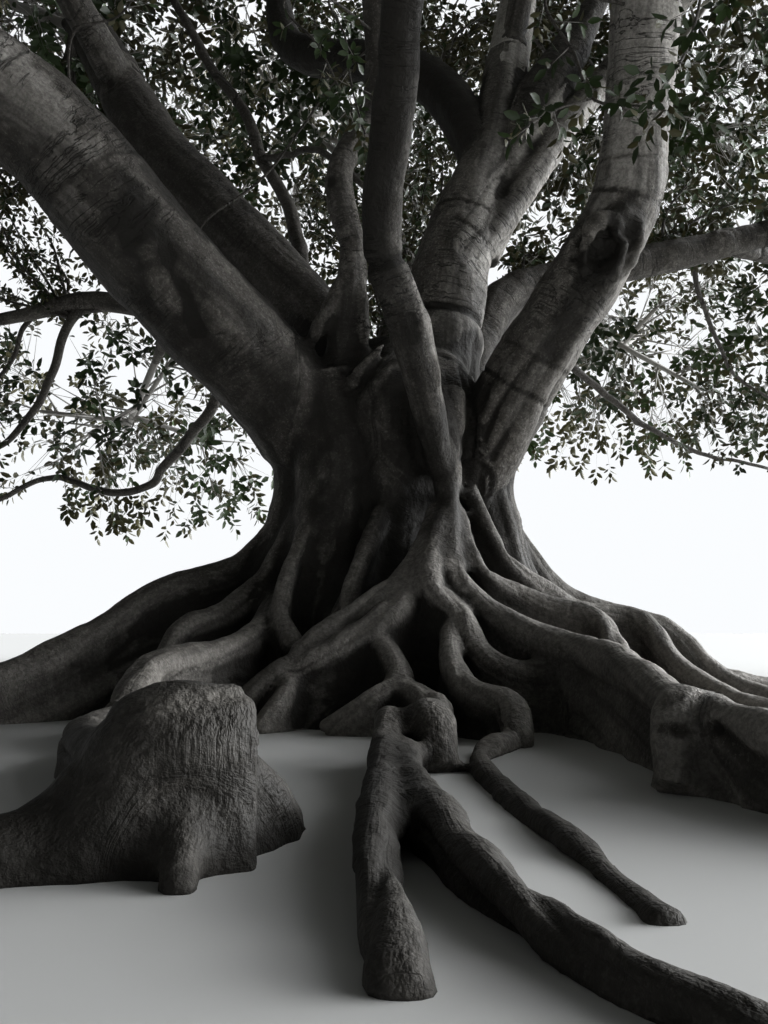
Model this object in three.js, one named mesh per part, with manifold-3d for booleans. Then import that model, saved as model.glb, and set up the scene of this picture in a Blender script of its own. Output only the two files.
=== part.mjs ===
// A banyan fig: a fluted trunk on buttress roots, heavy spreading boughs and a broad low dome of foliage.
// Millimetres, +Z up. The origin is the middle of the flat cut under the trunk, at ground level.
// Seen from -Y the tree stands as in the photograph, with +X to the right.
import * as THREE from "three";
import { mergeVertices } from "three/addons/utils/BufferGeometryUtils.js";
import Module from "manifold-3d";

const wasm = await Module();
wasm.setup();

// Driving dimensions. Paths and places are in metres, and METRE turns them into millimetres.
const METRE = 1000;
const JOINT_GAP = 0.0005; // metres between a stub of the trunk and the root or bough that goes on from it
const CLEARANCE = 0.4; // mm that a limb keeps where it is cut clear of another
const STEM_GAP = 0.0004; // metres between a bough's tip and the stem of its mass

// The core of the trunk: [height, radius] from the flat cut to the fork.
const CORE_PROFILE = [
  [0, 2.1], [0.35, 1.86], [0.8, 1.6], [1.3, 1.32], [1.9, 1.12],
  [2.5, 1.04], [3.1, 1.06], [3.6, 0.9], [3.95, 0.5],
];
const CORE_SIDES = 16;
const CORE_FLUTES = 7;
const CORE_FLUTE_DEPTH = 0.05; // share of the radius

// Round columns fused into the trunk: points are [x, y, z, radius].
const COLUMNS = [
  [[-1.3, -0.45, 0.9, 0.42], [-1.0, -0.3, 2.3, 0.32], [-1.05, -0.45, 2.9, 0.45], [-1.5, -0.8, 3.6, 0.5]],
  [[-0.75, -0.95, 0.7, 0.4], [-0.62, -0.7, 2.3, 0.42], [-0.72, -0.6, 3.5, 0.36]],
  [[0.5, -1.45, 1.2, 0.26], [0.52, -1.08, 2.3, 0.25], [0.42, -0.9, 3.2, 0.34]],
  [[1.25, -0.35, 0.8, 0.42], [0.98, -0.25, 2.3, 0.34], [1.1, -0.45, 3.0, 0.4]],
  [[1.0, 1.0, 0.6, 0.45], [0.7, 0.7, 2.3, 0.42], [0.95, 1.2, 3.6, 0.36]],
  [[-0.2, 1.4, 0.6, 0.45], [0.0, 0.85, 2.3, 0.42], [0.1, 1.35, 3.7, 0.4]],
  [[-1.1, 0.9, 0.6, 0.45], [-0.75, 0.6, 2.3, 0.42], [-1.15, 1.1, 3.6, 0.38]],
];

// Buttress roots: the crest line's points are [x, y, z, half-width]. Up to the share `fused` of its length a
// root belongs to the trunk, and the rest is a node of its own if the root has a name.
const ROOTS = [
  { name: "root_left", fused: 0.52, crest: [[-0.9, -0.1, 2.5, 0.3], [-1.52, -0.5, 1.68, 0.28],
    [-2.24, -1.0, 1.35, 0.24], [-2.95, -1.4, 0.85, 0.22], [-3.8, -2.1, 0.4, 0.2], [-4.9, -2.9, 0.06, 0.14]] },
  { crest: [[-0.95, -0.6, 2.2, 0.2], [-1.27, -0.9, 1.49, 0.16], [-1.6, -1.3, 1.1, 0.14],
    [-1.99, -1.72, 0.87, 0.12], [-2.12, -2.1, 0.3, 0.12], [-2.16, -2.3, 0.05, 0.1]] },
  { crest: [[-1.1, -1.0, 1.3, 0.2], [-1.25, -1.7, 0.9, 0.15], [-1.5, -2.3, 0.75, 0.14],
    [-1.86, -3.0, 0.66, 0.16], [-1.9, -3.6, 0.4, 0.16]] },
  { crest: [[-0.72, -0.8, 2.3, 0.16], [-0.99, -1.3, 1.53, 0.1], [-1.05, -1.6, 1.09, 0.09],
    [-0.95, -1.85, 0.84, 0.09], [-0.8, -2.05, 0.7, 0.08]] },
  { crest: [[-0.12, -1.0, 2.1, 0.12], [-0.4, -1.5, 1.35, 0.08], [-0.47, -1.75, 0.9, 0.08]] },
  { crest: [[0.4, -1.2, 2.1, 0.18], [0.13, -1.75, 1.45, 0.12], [-0.27, -1.97, 1.12, 0.09],
    [-0.6, -2.1, 0.9, 0.09], [-0.86, -2.2, 0.7, 0.09]] },
  { crest: [[0.35, -1.3, 1.9, 0.2], [0.06, -1.98, 1.18, 0.15], [-0.44, -2.18, 0.82, 0.16],
    [-0.98, -2.28, 0.56, 0.14], [-1.32, -2.42, 0.3, 0.1], [-1.6, -2.6, 0.05, 0.08]] },
  { crest: [[-0.2, -2.0, 0.9, 0.14], [0.03, -2.55, 0.55, 0.1], [-0.22, -2.78, 0.35, 0.1],
    [-0.56, -2.75, 0.06, 0.09]] },
  { crest: [[-0.95, -2.2, 0.55, 0.1], [-0.9, -2.45, 0.4, 0.07], [-1.12, -2.68, 0.05, 0.06]] },
  { crest: [[0.46, -1.25, 2.1, 0.2], [0.24, -1.9, 1.4, 0.13], [0.56, -2.12, 1.05, 0.12],
    [0.68, -2.36, 0.75, 0.1], [0.95, -2.52, 0.58, 0.1], [1.2, -2.45, 0.6, 0.1]] },
  { crest: [[0.5, -2.0, 1.0, 0.12], [0.45, -2.5, 0.7, 0.08], [0.56, -2.85, 0.45, 0.1],
    [0.84, -3.2, 0.34, 0.09], [0.84, -3.5, 0.05, 0.09]] },
  { name: "root_right_front", fused: 0.42, crest: [[0.5, -1.2, 2.2, 0.22], [0.5, -1.8, 1.4, 0.16],
    [1.1, -2.15, 0.95, 0.16], [1.6, -3.0, 0.73, 0.17], [1.68, -4.5, 0.5, 0.18], [1.66, -5.2, 0.5, 0.18],
    [1.95, -5.95, 0.4, 0.18], [2.4, -6.9, 0.04, 0.14]],
    knee: [[1.7, -4.95, 0.5, 0.14], [1.46, -5.12, 0.54, 0.13], [1.36, -5.3, 0.05, 0.13]] },
  { crest: [[0.6, -1.1, 2.1, 0.18], [0.7, -1.62, 1.48, 0.12], [1.28, -1.55, 1.2, 0.12],
    [1.86, -1.7, 1.01, 0.12], [1.9, -2.25, 0.7, 0.12]] },
  { name: "root_right", fused: 0.62, crest: [[0.7, -0.9, 2.3, 0.2], [1.16, -1.0, 1.55, 0.14],
    [1.84, -0.8, 1.14, 0.14], [2.5, -0.75, 1.02, 0.14], [2.75, -1.5, 0.5, 0.14], [3.4, -2.6, 0.05, 0.12]] },
  { name: "root_far_right", fused: 0.6, crest: [[0.95, -0.05, 2.5, 0.3], [1.69, 0.0, 1.46, 0.22],
    [2.29, 0.0, 1.13, 0.2], [3.0, -0.05, 0.92, 0.17], [3.5, -0.25, 0.42, 0.16], [4.2, -0.7, 0.05, 0.12]] },
];

// Roots round the back, worked out by a rule: azimuths in degrees anticlockwise from +X.
const REAR_ROOT_AZIMUTHS = [24, 47, 70, 92, 114, 137, 160, 181];
const REAR_ROOT_NAMED = 5; // how many of them, from the first on, have an outer node each
const REAR_ROOT_REACH = 4.6;
const REAR_ROOT_SWING = 0.5;
const REAR_ROOT_FUSED = 0.5;
const REAR_SHOULDER = [1.35, 0.35]; // least height where it leaves the flare, and how much chance adds
const REAR_BEND = 2.3; // distance from the middle where it starts to swing aside
// Points of its crest: [distance, share of the way on from the bend to its end, share of the swing, height,
// share of the shoulder's height, half-width].
const REAR_CREST = [
  [0.85, 0, 0, 2.3, 0, 0.28], [1.45, 0, 0, 0, 1, 0.2], [REAR_BEND, 0, 0.3, 0, 0.68, 0.18],
  [REAR_BEND, 0.5, 0.9, 0, 0.35, 0.16], [REAR_BEND, 1, 2, 0.04, 0, 0.12],
];

// Surface roots that run on from a buttress, cut or broken at their raised ends: each is a node.
const SURFACE_ROOTS = [
  { name: "root_front_left", ridges: [
    [[-1.9, -3.6, 0.36, 0.16], [-1.85, -4.6, 0.3, 0.16], [-1.3, -5.7, 0.38, 0.2], [-0.8, -6.5, 0.62, 0.2]],
    [[-0.62, -6.5, 0.6, 0.16], [-0.8, -6.57, 0.64, 0.24], [-1.14, -6.68, 0.34, 0.24],
      [-1.8, -6.95, 0.05, 0.18]],
    [[-0.8, -6.5, 0.5, 0.12], [-0.76, -6.82, 0.26, 0.05], [-0.74, -7.03, 0.03, 0.035]],
    [[-0.75, -6.5, 0.5, 0.14], [-0.58, -6.32, 0.3, 0.1], [-0.48, -6.2, 0.04, 0.08]],
  ] },
  { name: "root_front_centre", ridges: [
    [[-0.05, -2.5, 0.5, 0.1], [0.28, -3.05, 0.36, 0.1], [0.25, -3.7, 0.26, 0.1], [0.12, -4.45, 0.4, 0.18]],
    [[-0.08, -4.3, 0.38, 0.12], [-0.1, -5.0, 0.27, 0.09], [-0.13, -6.5, 0.21, 0.065],
      [-0.09, -7.35, 0.17, 0.05], [-0.04, -7.8, 0.03, 0.05]],
    [[0.2, -4.3, 0.4, 0.17], [0.12, -5.0, 0.28, 0.1], [0.24, -6.7, 0.2, 0.075],
      [0.36, -7.3, 0.17, 0.06], [0.52, -7.8, 0.13, 0.055], [0.95, -8.4, 0.02, 0.05]],
  ] },
  { name: "root_front_slim", ridges: [
    [[0.8, -3.45, 0.12, 0.05], [0.5, -4.2, 0.09, 0.045], [0.52, -5.4, 0.08, 0.045],
      [0.72, -7.3, 0.02, 0.035]],
  ] },
];

// Every root's wall: the half-width at height share t is w * sqrt(1 - t^4) + foot * height * (1 - t)^2.
const WALL_SHARES = [0, 0.35, 0.8, 1];
const FOOT_PER_HEIGHT = 0.16;
const LOWEST_CREST = 0.02;
const ROOT_STEPS_PER_POINT = 1;

// Boughs: points are [x, y, z, radius]. `from` names the bough that carries it, or the trunk. Each ends where
// it enters the mass of foliage of the same place, whose middle, spread and half-height are given.
const TIP_RADIUS = 0.075;
const BOUGHS = [
  { place: "left_front", from: "trunk", fused: 0.3, points: [[-0.6, -0.2, 2.5, 0.5],
    [-1.2, -0.6, 3.3, 0.56], [-2.55, -1.42, 4.76, 0.53], [-3.4, -1.95, 5.68, 0.49],
    [-5.6, -3.1, 6.9, 0.34]], mass: [-10.0, -4.9, 7.3] },
  { place: "left", from: "left_front", points: [[-4.3, -2.4, 6.25, 0.24], [-6.2, -1.6, 6.9, 0.19]],
    mass: [-11.2, 0.0, 6.2] },
  { place: "front_left", from: "left_front", points: [[-3.8, -2.12, 5.95, 0.22], [-4.4, -4.4, 7.6, 0.17]],
    mass: [-6.3, -8.8, 8.3] },
  { place: "left_rear_high", from: "trunk", fused: 0.25, points: [[-0.3, 0.1, 3.0, 0.46],
    [-0.85, 0.35, 4.3, 0.44], [-2.21, 0.7, 5.95, 0.41], [-3.11, 0.9, 7.06, 0.38], [-4.1, 1.4, 8.9, 0.28]],
    mass: [-6.4, 3.4, 10.9] },
  { place: "left_front_high", from: "left_rear_high", points: [[-3.5, 1.1, 7.75, 0.24],
    [-4.4, -0.3, 9.3, 0.18]], mass: [-6.4, -3.2, 11.4] },
  { place: "crown_front_left", from: "trunk", fused: 0.2, points: [[-0.64, -0.5, 3.2, 0.21],
    [-0.44, -0.8, 4.7, 0.17], [-0.58, -0.78, 5.7, 0.17], [-0.15, -0.5, 7.2, 0.16],
    [-0.6, -1.2, 10.6, 0.13]], mass: [-2.3, -2.3, 14.9] },
  { place: "front", from: "trunk", fused: 0.17, points: [[0.5, -1.1, 2.25, 0.15], [0.15, -1.8, 3.61, 0.2],
    [-0.12, -2.12, 4.4, 0.18], [0.03, -3.0, 5.5, 0.18], [0.2, -4.9, 7.3, 0.17]],
    mass: [-0.2, -10.4, 8.9] },
  { place: "front_high", from: "front", points: [[0.12, -4.2, 6.75, 0.13], [-0.1, -5.1, 8.6, 0.12]],
    mass: [-1.6, -6.5, 11.8] },
  { place: "crown_rear_right", from: "trunk", fused: 0.2, points: [[0.42, -0.1, 3.0, 0.48],
    [0.62, 0.0, 4.58, 0.45], [0.88, 0.12, 5.6, 0.4], [1.25, 0.42, 6.7, 0.31], [1.75, 1.3, 9.4, 0.24]],
    mass: [2.4, 2.4, 14.9] },
  { place: "right_high", from: "crown_rear_right", points: [[0.85, 0.0, 5.05, 0.26], [1.5, 0.1, 5.95, 0.2],
    [2.45, 0.4, 7.36, 0.18], [4.2, 0.5, 9.3, 0.15]], mass: [7.2, 0.0, 10.9] },
  { place: "crown_front_right", from: "crown_rear_right", points: [[1.55, 0.95, 8.3, 0.18],
    [2.0, 0.1, 10.6, 0.15]], mass: [2.4, -2.3, 14.9] },
  { place: "front_right_high", from: "trunk", fused: 0.22, points: [[0.7, -0.3, 2.2, 0.4],
    [1.43, -0.8, 3.52, 0.4], [2.34, -1.07, 5.0, 0.37], [2.52, -1.35, 6.0, 0.345], [2.58, -1.9, 7.3, 0.32],
    [3.1, -3.5, 9.3, 0.22]], mass: [4.5, -5.7, 11.9] },
  { place: "front_right", from: "front_right_high", points: [[2.66, -2.2, 7.75, 0.2],
    [3.8, -4.7, 8.5, 0.16]], mass: [5.9, -8.8, 8.5] },
  { place: "right_front", from: "front_right_high", points: [[2.58, -1.85, 7.2, 0.22],
    [4.6, -2.7, 7.9, 0.19]], mass: [10.0, -4.8, 7.5] },
  { place: "right", from: "trunk", fused: 0.25, points: [[0.6, 0.45, 3.2, 0.3], [1.1, 0.95, 4.4, 0.27],
    [1.75, 1.4, 5.25, 0.24], [3.75, 1.8, 5.85, 0.21], [6.2, 2.0, 6.5, 0.17]], mass: [11.2, 0.6, 6.2] },
  { place: "right_rear", from: "right", points: [[4.6, 1.88, 6.1, 0.14], [6.2, 3.3, 6.4, 0.12]],
    mass: [9.6, 5.7, 5.9] },
  { place: "crown_rear_left", from: "crown_rear_right", points: [[1.15, 0.35, 6.4, 0.3],
    [0.6, 0.85, 7.75, 0.29], [-0.3, 1.25, 8.35, 0.27], [-1.45, 2.0, 9.15, 0.23]],
    mass: [-2.4, 2.4, 14.9] },
  { place: "rear", from: "trunk", fused: 0.25, points: [[0.0, 0.7, 2.8, 0.42], [0.1, 1.6, 4.1, 0.4],
    [0.3, 3.0, 5.8, 0.33], [0.3, 5.4, 7.1, 0.25]], mass: [-0.2, 11.0, 6.6] },
  { place: "rear_high", from: "rear", points: [[0.32, 4.3, 6.65, 0.19], [-0.2, 5.2, 8.4, 0.16]],
    mass: [-1.6, 7.1, 10.9] },
  { place: "rear_right", from: "trunk", fused: 0.25, points: [[0.6, 0.7, 2.8, 0.38], [1.2, 1.7, 4.2, 0.34],
    [2.2, 3.2, 5.8, 0.29], [3.4, 5.4, 6.7, 0.22]], mass: [5.2, 9.9, 7.2] },
  { place: "right_rear_high", from: "rear_right", points: [[2.6, 3.9, 6.1, 0.18], [3.05, 4.3, 7.1, 0.15]],
    mass: [4.6, 5.7, 10.4] },
  { place: "rear_left", from: "trunk", fused: 0.25, points: [[-0.6, 0.6, 2.7, 0.4],
    [-1.3, 1.5, 3.95, 0.37], [-2.4, 3.1, 5.4, 0.31], [-3.8, 5.4, 6.3, 0.24]], mass: [-5.7, 9.6, 5.5] },
  { place: "left_rear", from: "rear_left", points: [[-2.8, 3.8, 5.65, 0.19], [-4.9, 4.4, 6.2, 0.16]],
    mass: [-10.2, 5.0, 5.4] },
];
const MASS_SPREAD = 4.0; // half-width of a mass
const MASS_HALF_HEIGHT = 3.3;
const BOUGH_ENTERS = 0.7; // where a bough ends, as a share of the spread from the middle of its mass
const BOUGH_MIDDLE = 0.55; // how far its last stretch has tapered by its middle
const BOUGH_SIDES = 8;
const SIDE_BOUGH_SIDES = 6;
const BOUGH_STEPS_PER_POINT = 1.5;

// Foliage: a mass is one stem, twigs that leave it by the golden angle, and sprays on each twig.
const GOLDEN_ANGLE = Math.PI * (3 - Math.sqrt(5));
const STEM_PAST_MIDDLE = 0.2; // of the spread
const TWIGS_PER_MASS = 5;
const FIRST_TWIG = 0.35; // parameter on the stem
const TWIG_STRETCH = 0.6; // of the stem that twigs leave from
const LOWEST_RISE = -0.62; // sine of the lowest twig's slope
const HIGHEST_RISE = 0.9;
const SPRAYS_PER_TWIG = 3;
const SPRAY_STRETCH = 0.55; // of a twig that its sprays are set on
const STEM_SIDES = 4;
const TWIG_SIDES = 3;
const TWIG_RADIUS = 0.07;
const TWIG_TIP_RADIUS = 0.045;
const TWIG_REACH = 0.58; // of the way from the stem to the edge of the mass
const SPRAY_LENGTH = 2.2;
const SPRAY_WIDTH = 1.65;
const SPRAY_THICKNESS = 0.12;
const SPRAY_TILT = 1.1; // range of a spray's rise over its run
const SPRAY_ROLL = 1.9; // range of a spray's turn about its own length, in radians
const SPRAY_SUNK = 0.02; // metres that a spray's root lies beyond the middle of its twig
const LIMB_MARGIN = 0.06;
const SPACE_MARGIN = 0.03;
const OWN_TIP = 0.2; // limbs this close to a mass's middle are its own
const LIMB_STATIONS = 8; // for each stretch of a bough's path
const SPRAY_MARGIN = 0.6; // metres kept between the middles of two sprays

// Arithmetic on points held as arrays.
const add = (a, b) => a.map((v, i) => v + b[i]);
const subtract = (a, b) => a.map((v, i) => v - b[i]);
const scale = (a, k) => a.map((v) => v * k);
const dot = (a, b) => a.reduce((sum, v, i) => sum + v * b[i], 0);
const cross = (a, b) => [a[1] * b[2] - a[2] * b[1], a[2] * b[0] - a[0] * b[2], a[0] * b[1] - a[1] * b[0]];
const length = (a) => Math.sqrt(dot(a, a));
const unit = (a) => scale(a, 1 / length(a));
const mix = (a, b, t) => a.map((v, i) => v + (b[i] - v) * t);

// A repeatable chance from 0 to 1 for up to three whole numbers.
function chance(a, b = 0, c = 0) {
  const wave = Math.sin(a * 12.9898 + b * 78.233 + c * 37.719 + 1.5) * 43758.5453;
  return wave - Math.floor(wave);
}

// The point at parameter u, from 0 to 1, of the smooth curve through every point of a path.
function along(path, u) {
  const place = Math.min(Math.max(u, 0), 1) * (path.length - 1);
  const i = Math.min(Math.floor(place), path.length - 2);
  const t = place - i;
  const p1 = path[i];
  const p2 = path[i + 1];
  const p0 = i > 0 ? path[i - 1] : subtract(scale(p1, 2), p2);
  const p3 = i + 2 < path.length ? path[i + 2] : subtract(scale(p2, 2), p1);
  return p1.map((v, k) => 0.5 * (2 * v + (p2[k] - p0[k]) * t
    + (2 * p0[k] - 5 * v + 4 * p2[k] - p3[k]) * t * t + (3 * v - p0[k] - 3 * p2[k] + p3[k]) * t * t * t));
}

// The parameters of a path's stations, `steps` of them for each stretch between two of its points.
function parameters(path, steps, from = 0, to = 1) {
  const count = Math.max(1, Math.round((path.length - 1) * steps * (to - from)));
  return Array.from({ length: count + 1 }, (_, i) => from + ((to - from) * i) / count);
}

// The direction of a path at parameter u.
function heading(path, u) {
  const step = 1e-3;
  return unit(subtract(along(path, Math.min(u + step, 1)), along(path, Math.max(u - step, 0))).slice(0, 3));
}

// The parameter that lies a joint's gap beyond u.
function pastJoint(path, u) {
  const step = 1e-3;
  const metres = length(subtract(along(path, u + step), along(path, u)).slice(0, 3)) / step;
  return u + JOINT_GAP / metres;
}

// A solid of points in metres and triangles, turned face out.
function solidOf(points, faces) {
  const build = (triangles) => {
    const vertProperties = new Float32Array(points.flatMap((p) => scale(p, METRE)));
    const triVerts = new Uint32Array(triangles.flat());
    return new wasm.Manifold(new wasm.Mesh({ numProp: 3, vertProperties, triVerts }));
  };
  const made = build(faces);
  return made.volume() < 0 ? build(faces.map((face) => [...face].reverse())) : made;
}

// A closed solid through rings that have the same number of points.
function skin(rings) {
  const sides = rings[0].length;
  const faces = [];
  for (let r = 0; r + 1 < rings.length; r++) {
    for (let s = 0; s < sides; s++) {
      const a = r * sides + s;
      const b = r * sides + ((s + 1) % sides);
      faces.push([a, b, b + sides], [a, b + sides, a + sides]);
    }
  }
  const last = (rings.length - 1) * sides;
  for (let s = 1; s + 1 < sides; s++) {
    faces.push([0, s + 1, s], [last, last + s, last + s + 1]);
  }
  return solidOf(rings.flat(), faces);
}

// A round tapering limb: a polygon carried along a path of [x, y, z, radius], level across its own run.
function limb(path, sides, steps, from = 0, to = 1) {
  const run = subtract(path[path.length - 1], path[0]);
  const level = unit([run[1] + 1e-6, -run[0], 0]);
  return skin(parameters(path, steps, from, to).map((u) => {
    const place = along(path, u);
    const tangent = heading(path, u);
    const across = unit(subtract(level, scale(tangent, dot(level, tangent))));
    const up = cross(across, tangent);
    return Array.from({ length: sides }, (_, s) => {
      const angle = (2 * Math.PI * s) / sides;
      const offset = add(scale(across, place[3] * Math.cos(angle)), scale(up, place[3] * Math.sin(angle)));
      return add(place.slice(0, 3), offset);
    });
  }));
}

// A root: a rounded wall carried along its crest line of [x, y, z, half-width], flat on the ground.
function root(crest, from = 0, to = 1) {
  return skin(parameters(crest, ROOT_STEPS_PER_POINT, from, to).map((u) => {
    const [x, y, z, half] = along(crest, u);
    const tangent = heading(crest, u);
    const side = unit([-tangent[1], tangent[0], 0]);
    const height = Math.max(z, LOWEST_CREST);
    const edge = (t, sense) => {
      const width = half * Math.sqrt(1 - t ** 4) + FOOT_PER_HEIGHT * height * (1 - t) ** 2;
      return [x + sense * side[0] * width, y + sense * side[1] * width, height * t];
    };
    const back = WALL_SHARES.slice(0, -1).reverse();
    return [...WALL_SHARES.map((t) => edge(t, 1)), ...back.map((t) => edge(t, -1))];
  }));
}

// The trunk's core: rings of its profile, gently fluted.
function core() {
  return skin(CORE_PROFILE.map(([z, radius]) => Array.from({ length: CORE_SIDES }, (_, s) => {
    const angle = (2 * Math.PI * s) / CORE_SIDES;
    const here = radius * (1 + CORE_FLUTE_DEPTH * Math.sin(CORE_FLUTES * angle));
    return [here * Math.cos(angle), here * Math.sin(angle), z];
  })));
}

// The crest line of a root round the back, which swings to one side as it runs out and sinks.
function rearCrest(azimuth, index) {
  const turn = (azimuth * Math.PI) / 180;
  const reach = REAR_ROOT_REACH * (0.75 + 0.5 * chance(index, 3));
  const swing = REAR_ROOT_SWING * (2 * chance(index, 4) - 1);
  const shoulder = REAR_SHOULDER[0] + REAR_SHOULDER[1] * chance(index, 5);
  return REAR_CREST.map(([distance, onward, asideShare, level, fall, half]) => {
    const radius = distance + onward * (reach - REAR_BEND);
    const aside = asideShare * swing;
    const x = radius * Math.cos(turn) - aside * Math.sin(turn);
    const y = radius * Math.sin(turn) + aside * Math.cos(turn);
    return [x, y, level + fall * shoulder, half];
  });
}

// The largest single body of a solid, without its loose scraps.
function largest(solid) {
  return solid.decompose().reduce((best, body) => (body.volume() > best.volume() ? body : best));
}

// The same solid with each vertex moved out along its normal, which is only used to cut a neighbour clear.
function grown(solid) {
  const mesh = solid.getMesh();
  const loose = new THREE.BufferGeometry();
  loose.setAttribute("position", new THREE.BufferAttribute(new Float32Array(mesh.vertProperties), 3));
  loose.setIndex(new THREE.BufferAttribute(mesh.triVerts, 1));
  const geometry = mergeVertices(loose, 1e-3);
  geometry.computeVertexNormals();
  const { position, normal } = geometry.attributes;
  const vertProperties = position.array.map((v, i) => v + normal.array[i] * CLEARANCE);
  return new wasm.Manifold(new wasm.Mesh({ numProp: 3, vertProperties, triVerts: geometry.index.array }));
}

// A limb cut clear of every neighbour that it meets.
function clearOf(solid, neighbours) {
  const meeting = neighbours.filter((neighbour) => solid.intersect(neighbour).volume() > 0);
  return meeting.length ? largest(solid.subtract(wasm.Manifold.union(meeting))) : solid;
}

// The trunk: its core, its columns and the stub of every root and bough that starts from it.
function trunk(roots, boughs) {
  const rootStubs = roots.map(({ name, fused, crest }) => root(crest, 0, name ? fused : 1));
  const boughStubs = boughs.filter(({ from }) => from === "trunk")
    .map(({ path, fused }) => limb(path, BOUGH_SIDES, BOUGH_STEPS_PER_POINT, 0, fused));
  const columns = COLUMNS.map((path) => limb(path, BOUGH_SIDES, 1));
  return largest(wasm.Manifold.union([core(), ...columns, ...rootStubs, ...boughStubs]));
}

// A bough's whole path, ending where it enters its mass.
function boughPath({ points, mass }) {
  const last = points[points.length - 1];
  const outward = unit(subtract(mass, last.slice(0, 3)));
  const tip = subtract(mass, scale(outward, MASS_SPREAD * BOUGH_ENTERS));
  const middle = mix(last.slice(0, 3), tip, 0.5);
  return [...points, [...middle, mix([last[3]], [TIP_RADIUS], BOUGH_MIDDLE)[0]], [...tip, TIP_RADIUS]];
}

// Whether a point lies in a mass's own space: inside its ellipsoid, and on its side of every neighbour.
function inSpace(middle, point) {
  const out = subtract(point, middle);
  const reach = (out[0] ** 2 + out[1] ** 2) / MASS_SPREAD ** 2 + out[2] ** 2 / MASS_HALF_HEIGHT ** 2;
  return reach < 1 && BOUGHS.every(({ mass }) => {
    const between = subtract(mass, middle);
    const apart = length(between);
    return apart === 0 || dot(out, between) / apart < apart / 2 - SPACE_MARGIN;
  });
}

// How far a ray from a point stays inside a mass's space.
function roomAlong(middle, from, direction) {
  const step = 0.05;
  let reach = 0;
  while (inSpace(middle, add(from, scale(direction, reach + step)))) reach += step;
  return reach;
}

// Whether a ball at a point stays clear of every limb, given as stations along their paths.
function clearOfLimbs(point, radius, limbs) {
  return limbs.every((place) => length(subtract(point, place.slice(0, 3))) > place[3] + radius + LIMB_MARGIN);
}

// The path of a twig: its slope follows its number, and it turns from the last twig by the golden angle.
function twigPath(index, twig, stem, middle) {
  const share = (twig + 0.5) / TWIGS_PER_MASS;
  const rise = LOWEST_RISE + (HIGHEST_RISE - LOWEST_RISE) * share;
  const turn = GOLDEN_ANGLE * twig + 2 * Math.PI * chance(index, 1);
  const flat = Math.sqrt(1 - rise * rise);
  const direction = [flat * Math.cos(turn), flat * Math.sin(turn), rise];
  const start = along(stem, FIRST_TWIG + TWIG_STRETCH * share).slice(0, 3);
  const reach = TWIG_REACH * roomAlong(middle, start, direction);
  const end = add(start, scale(direction, reach));
  return [[...start, TWIG_RADIUS], [...end, TWIG_TIP_RADIUS]];
}

// A spray: a thin blade of eight faces that stands for a spray of leaves, from its root along a direction.
function spray(base, direction, across) {
  const normal = cross(direction, across);
  const shape = new THREE.Matrix4().makeBasis(
    new THREE.Vector3(...scale(direction, SPRAY_LENGTH / 2)),
    new THREE.Vector3(...scale(across, SPRAY_WIDTH / 2)),
    new THREE.Vector3(...scale(normal, SPRAY_THICKNESS / 2)));
  shape.setPosition(...add(base, scale(direction, SPRAY_LENGTH / 2)));
  const blade = new THREE.OctahedronGeometry(1).deleteAttribute("normal").deleteAttribute("uv");
  const { attributes, index } = mergeVertices(blade.applyMatrix4(shape));
  const points = Array.from({ length: attributes.position.count }, (_, i) => (
    new THREE.Vector3().fromBufferAttribute(attributes.position, i).toArray()));
  const corners = Array.from(index.array);
  const faces = Array.from({ length: index.count / 3 }, (_, f) => corners.slice(3 * f, 3 * f + 3));
  return { points, middle: add(base, scale(direction, SPRAY_LENGTH / 2)), solid: solidOf(points, faces) };
}

// The ways a spray may point: along its twig at the tip, and to the side below it, first choice first.
const TIP_TURNS = [0, 0.45, -0.45, 0.9, -0.9];
const SIDE_TURNS = [1.0, 1.4, 0.7, -1.0, -1.4];

// The spray with a given number on a twig, or none where it would leave the space or touch anything.
function sprayOn(index, twig, n, path, { middle, limbs, others }) {
  const u = 1 - (SPRAY_STRETCH * n) / (SPRAYS_PER_TWIG - 1);
  const direction = heading(path, u);
  const side = unit(cross(direction, [0, 0, 1]));
  const sense = n % 2 ? 1 : -1;
  const tilt = SPRAY_TILT * (chance(index, twig, 2 + n) - 0.5);
  const roll = SPRAY_ROLL * (chance(index, twig, 12 + n) - 0.5);
  for (const turn of n ? SIDE_TURNS : TIP_TURNS) {
    const aside = add(scale(direction, Math.cos(turn)), scale(side, sense * Math.sin(turn)));
    const out = unit(add(aside, [0, 0, tilt]));
    const level = unit(cross(out, [0, 0, 1]));
    const across = add(scale(level, Math.cos(roll)), scale(cross(out, level), Math.sin(roll)));
    const base = subtract(along(path, u).slice(0, 3), scale(out, SPRAY_SUNK));
    const made = spray(base, out, across);
    const free = made.points.every((p) => inSpace(middle, p) && clearOfLimbs(p, LIMB_MARGIN, limbs))
      && clearOfLimbs(made.middle, SPRAY_WIDTH / 2, limbs)
      && others.every((other) => length(subtract(other.middle, made.middle)) > SPRAY_MARGIN
        && other.solid.intersect(made.solid).volume() === 0);
    if (free) return [made];
  }
  return [];
}

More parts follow.
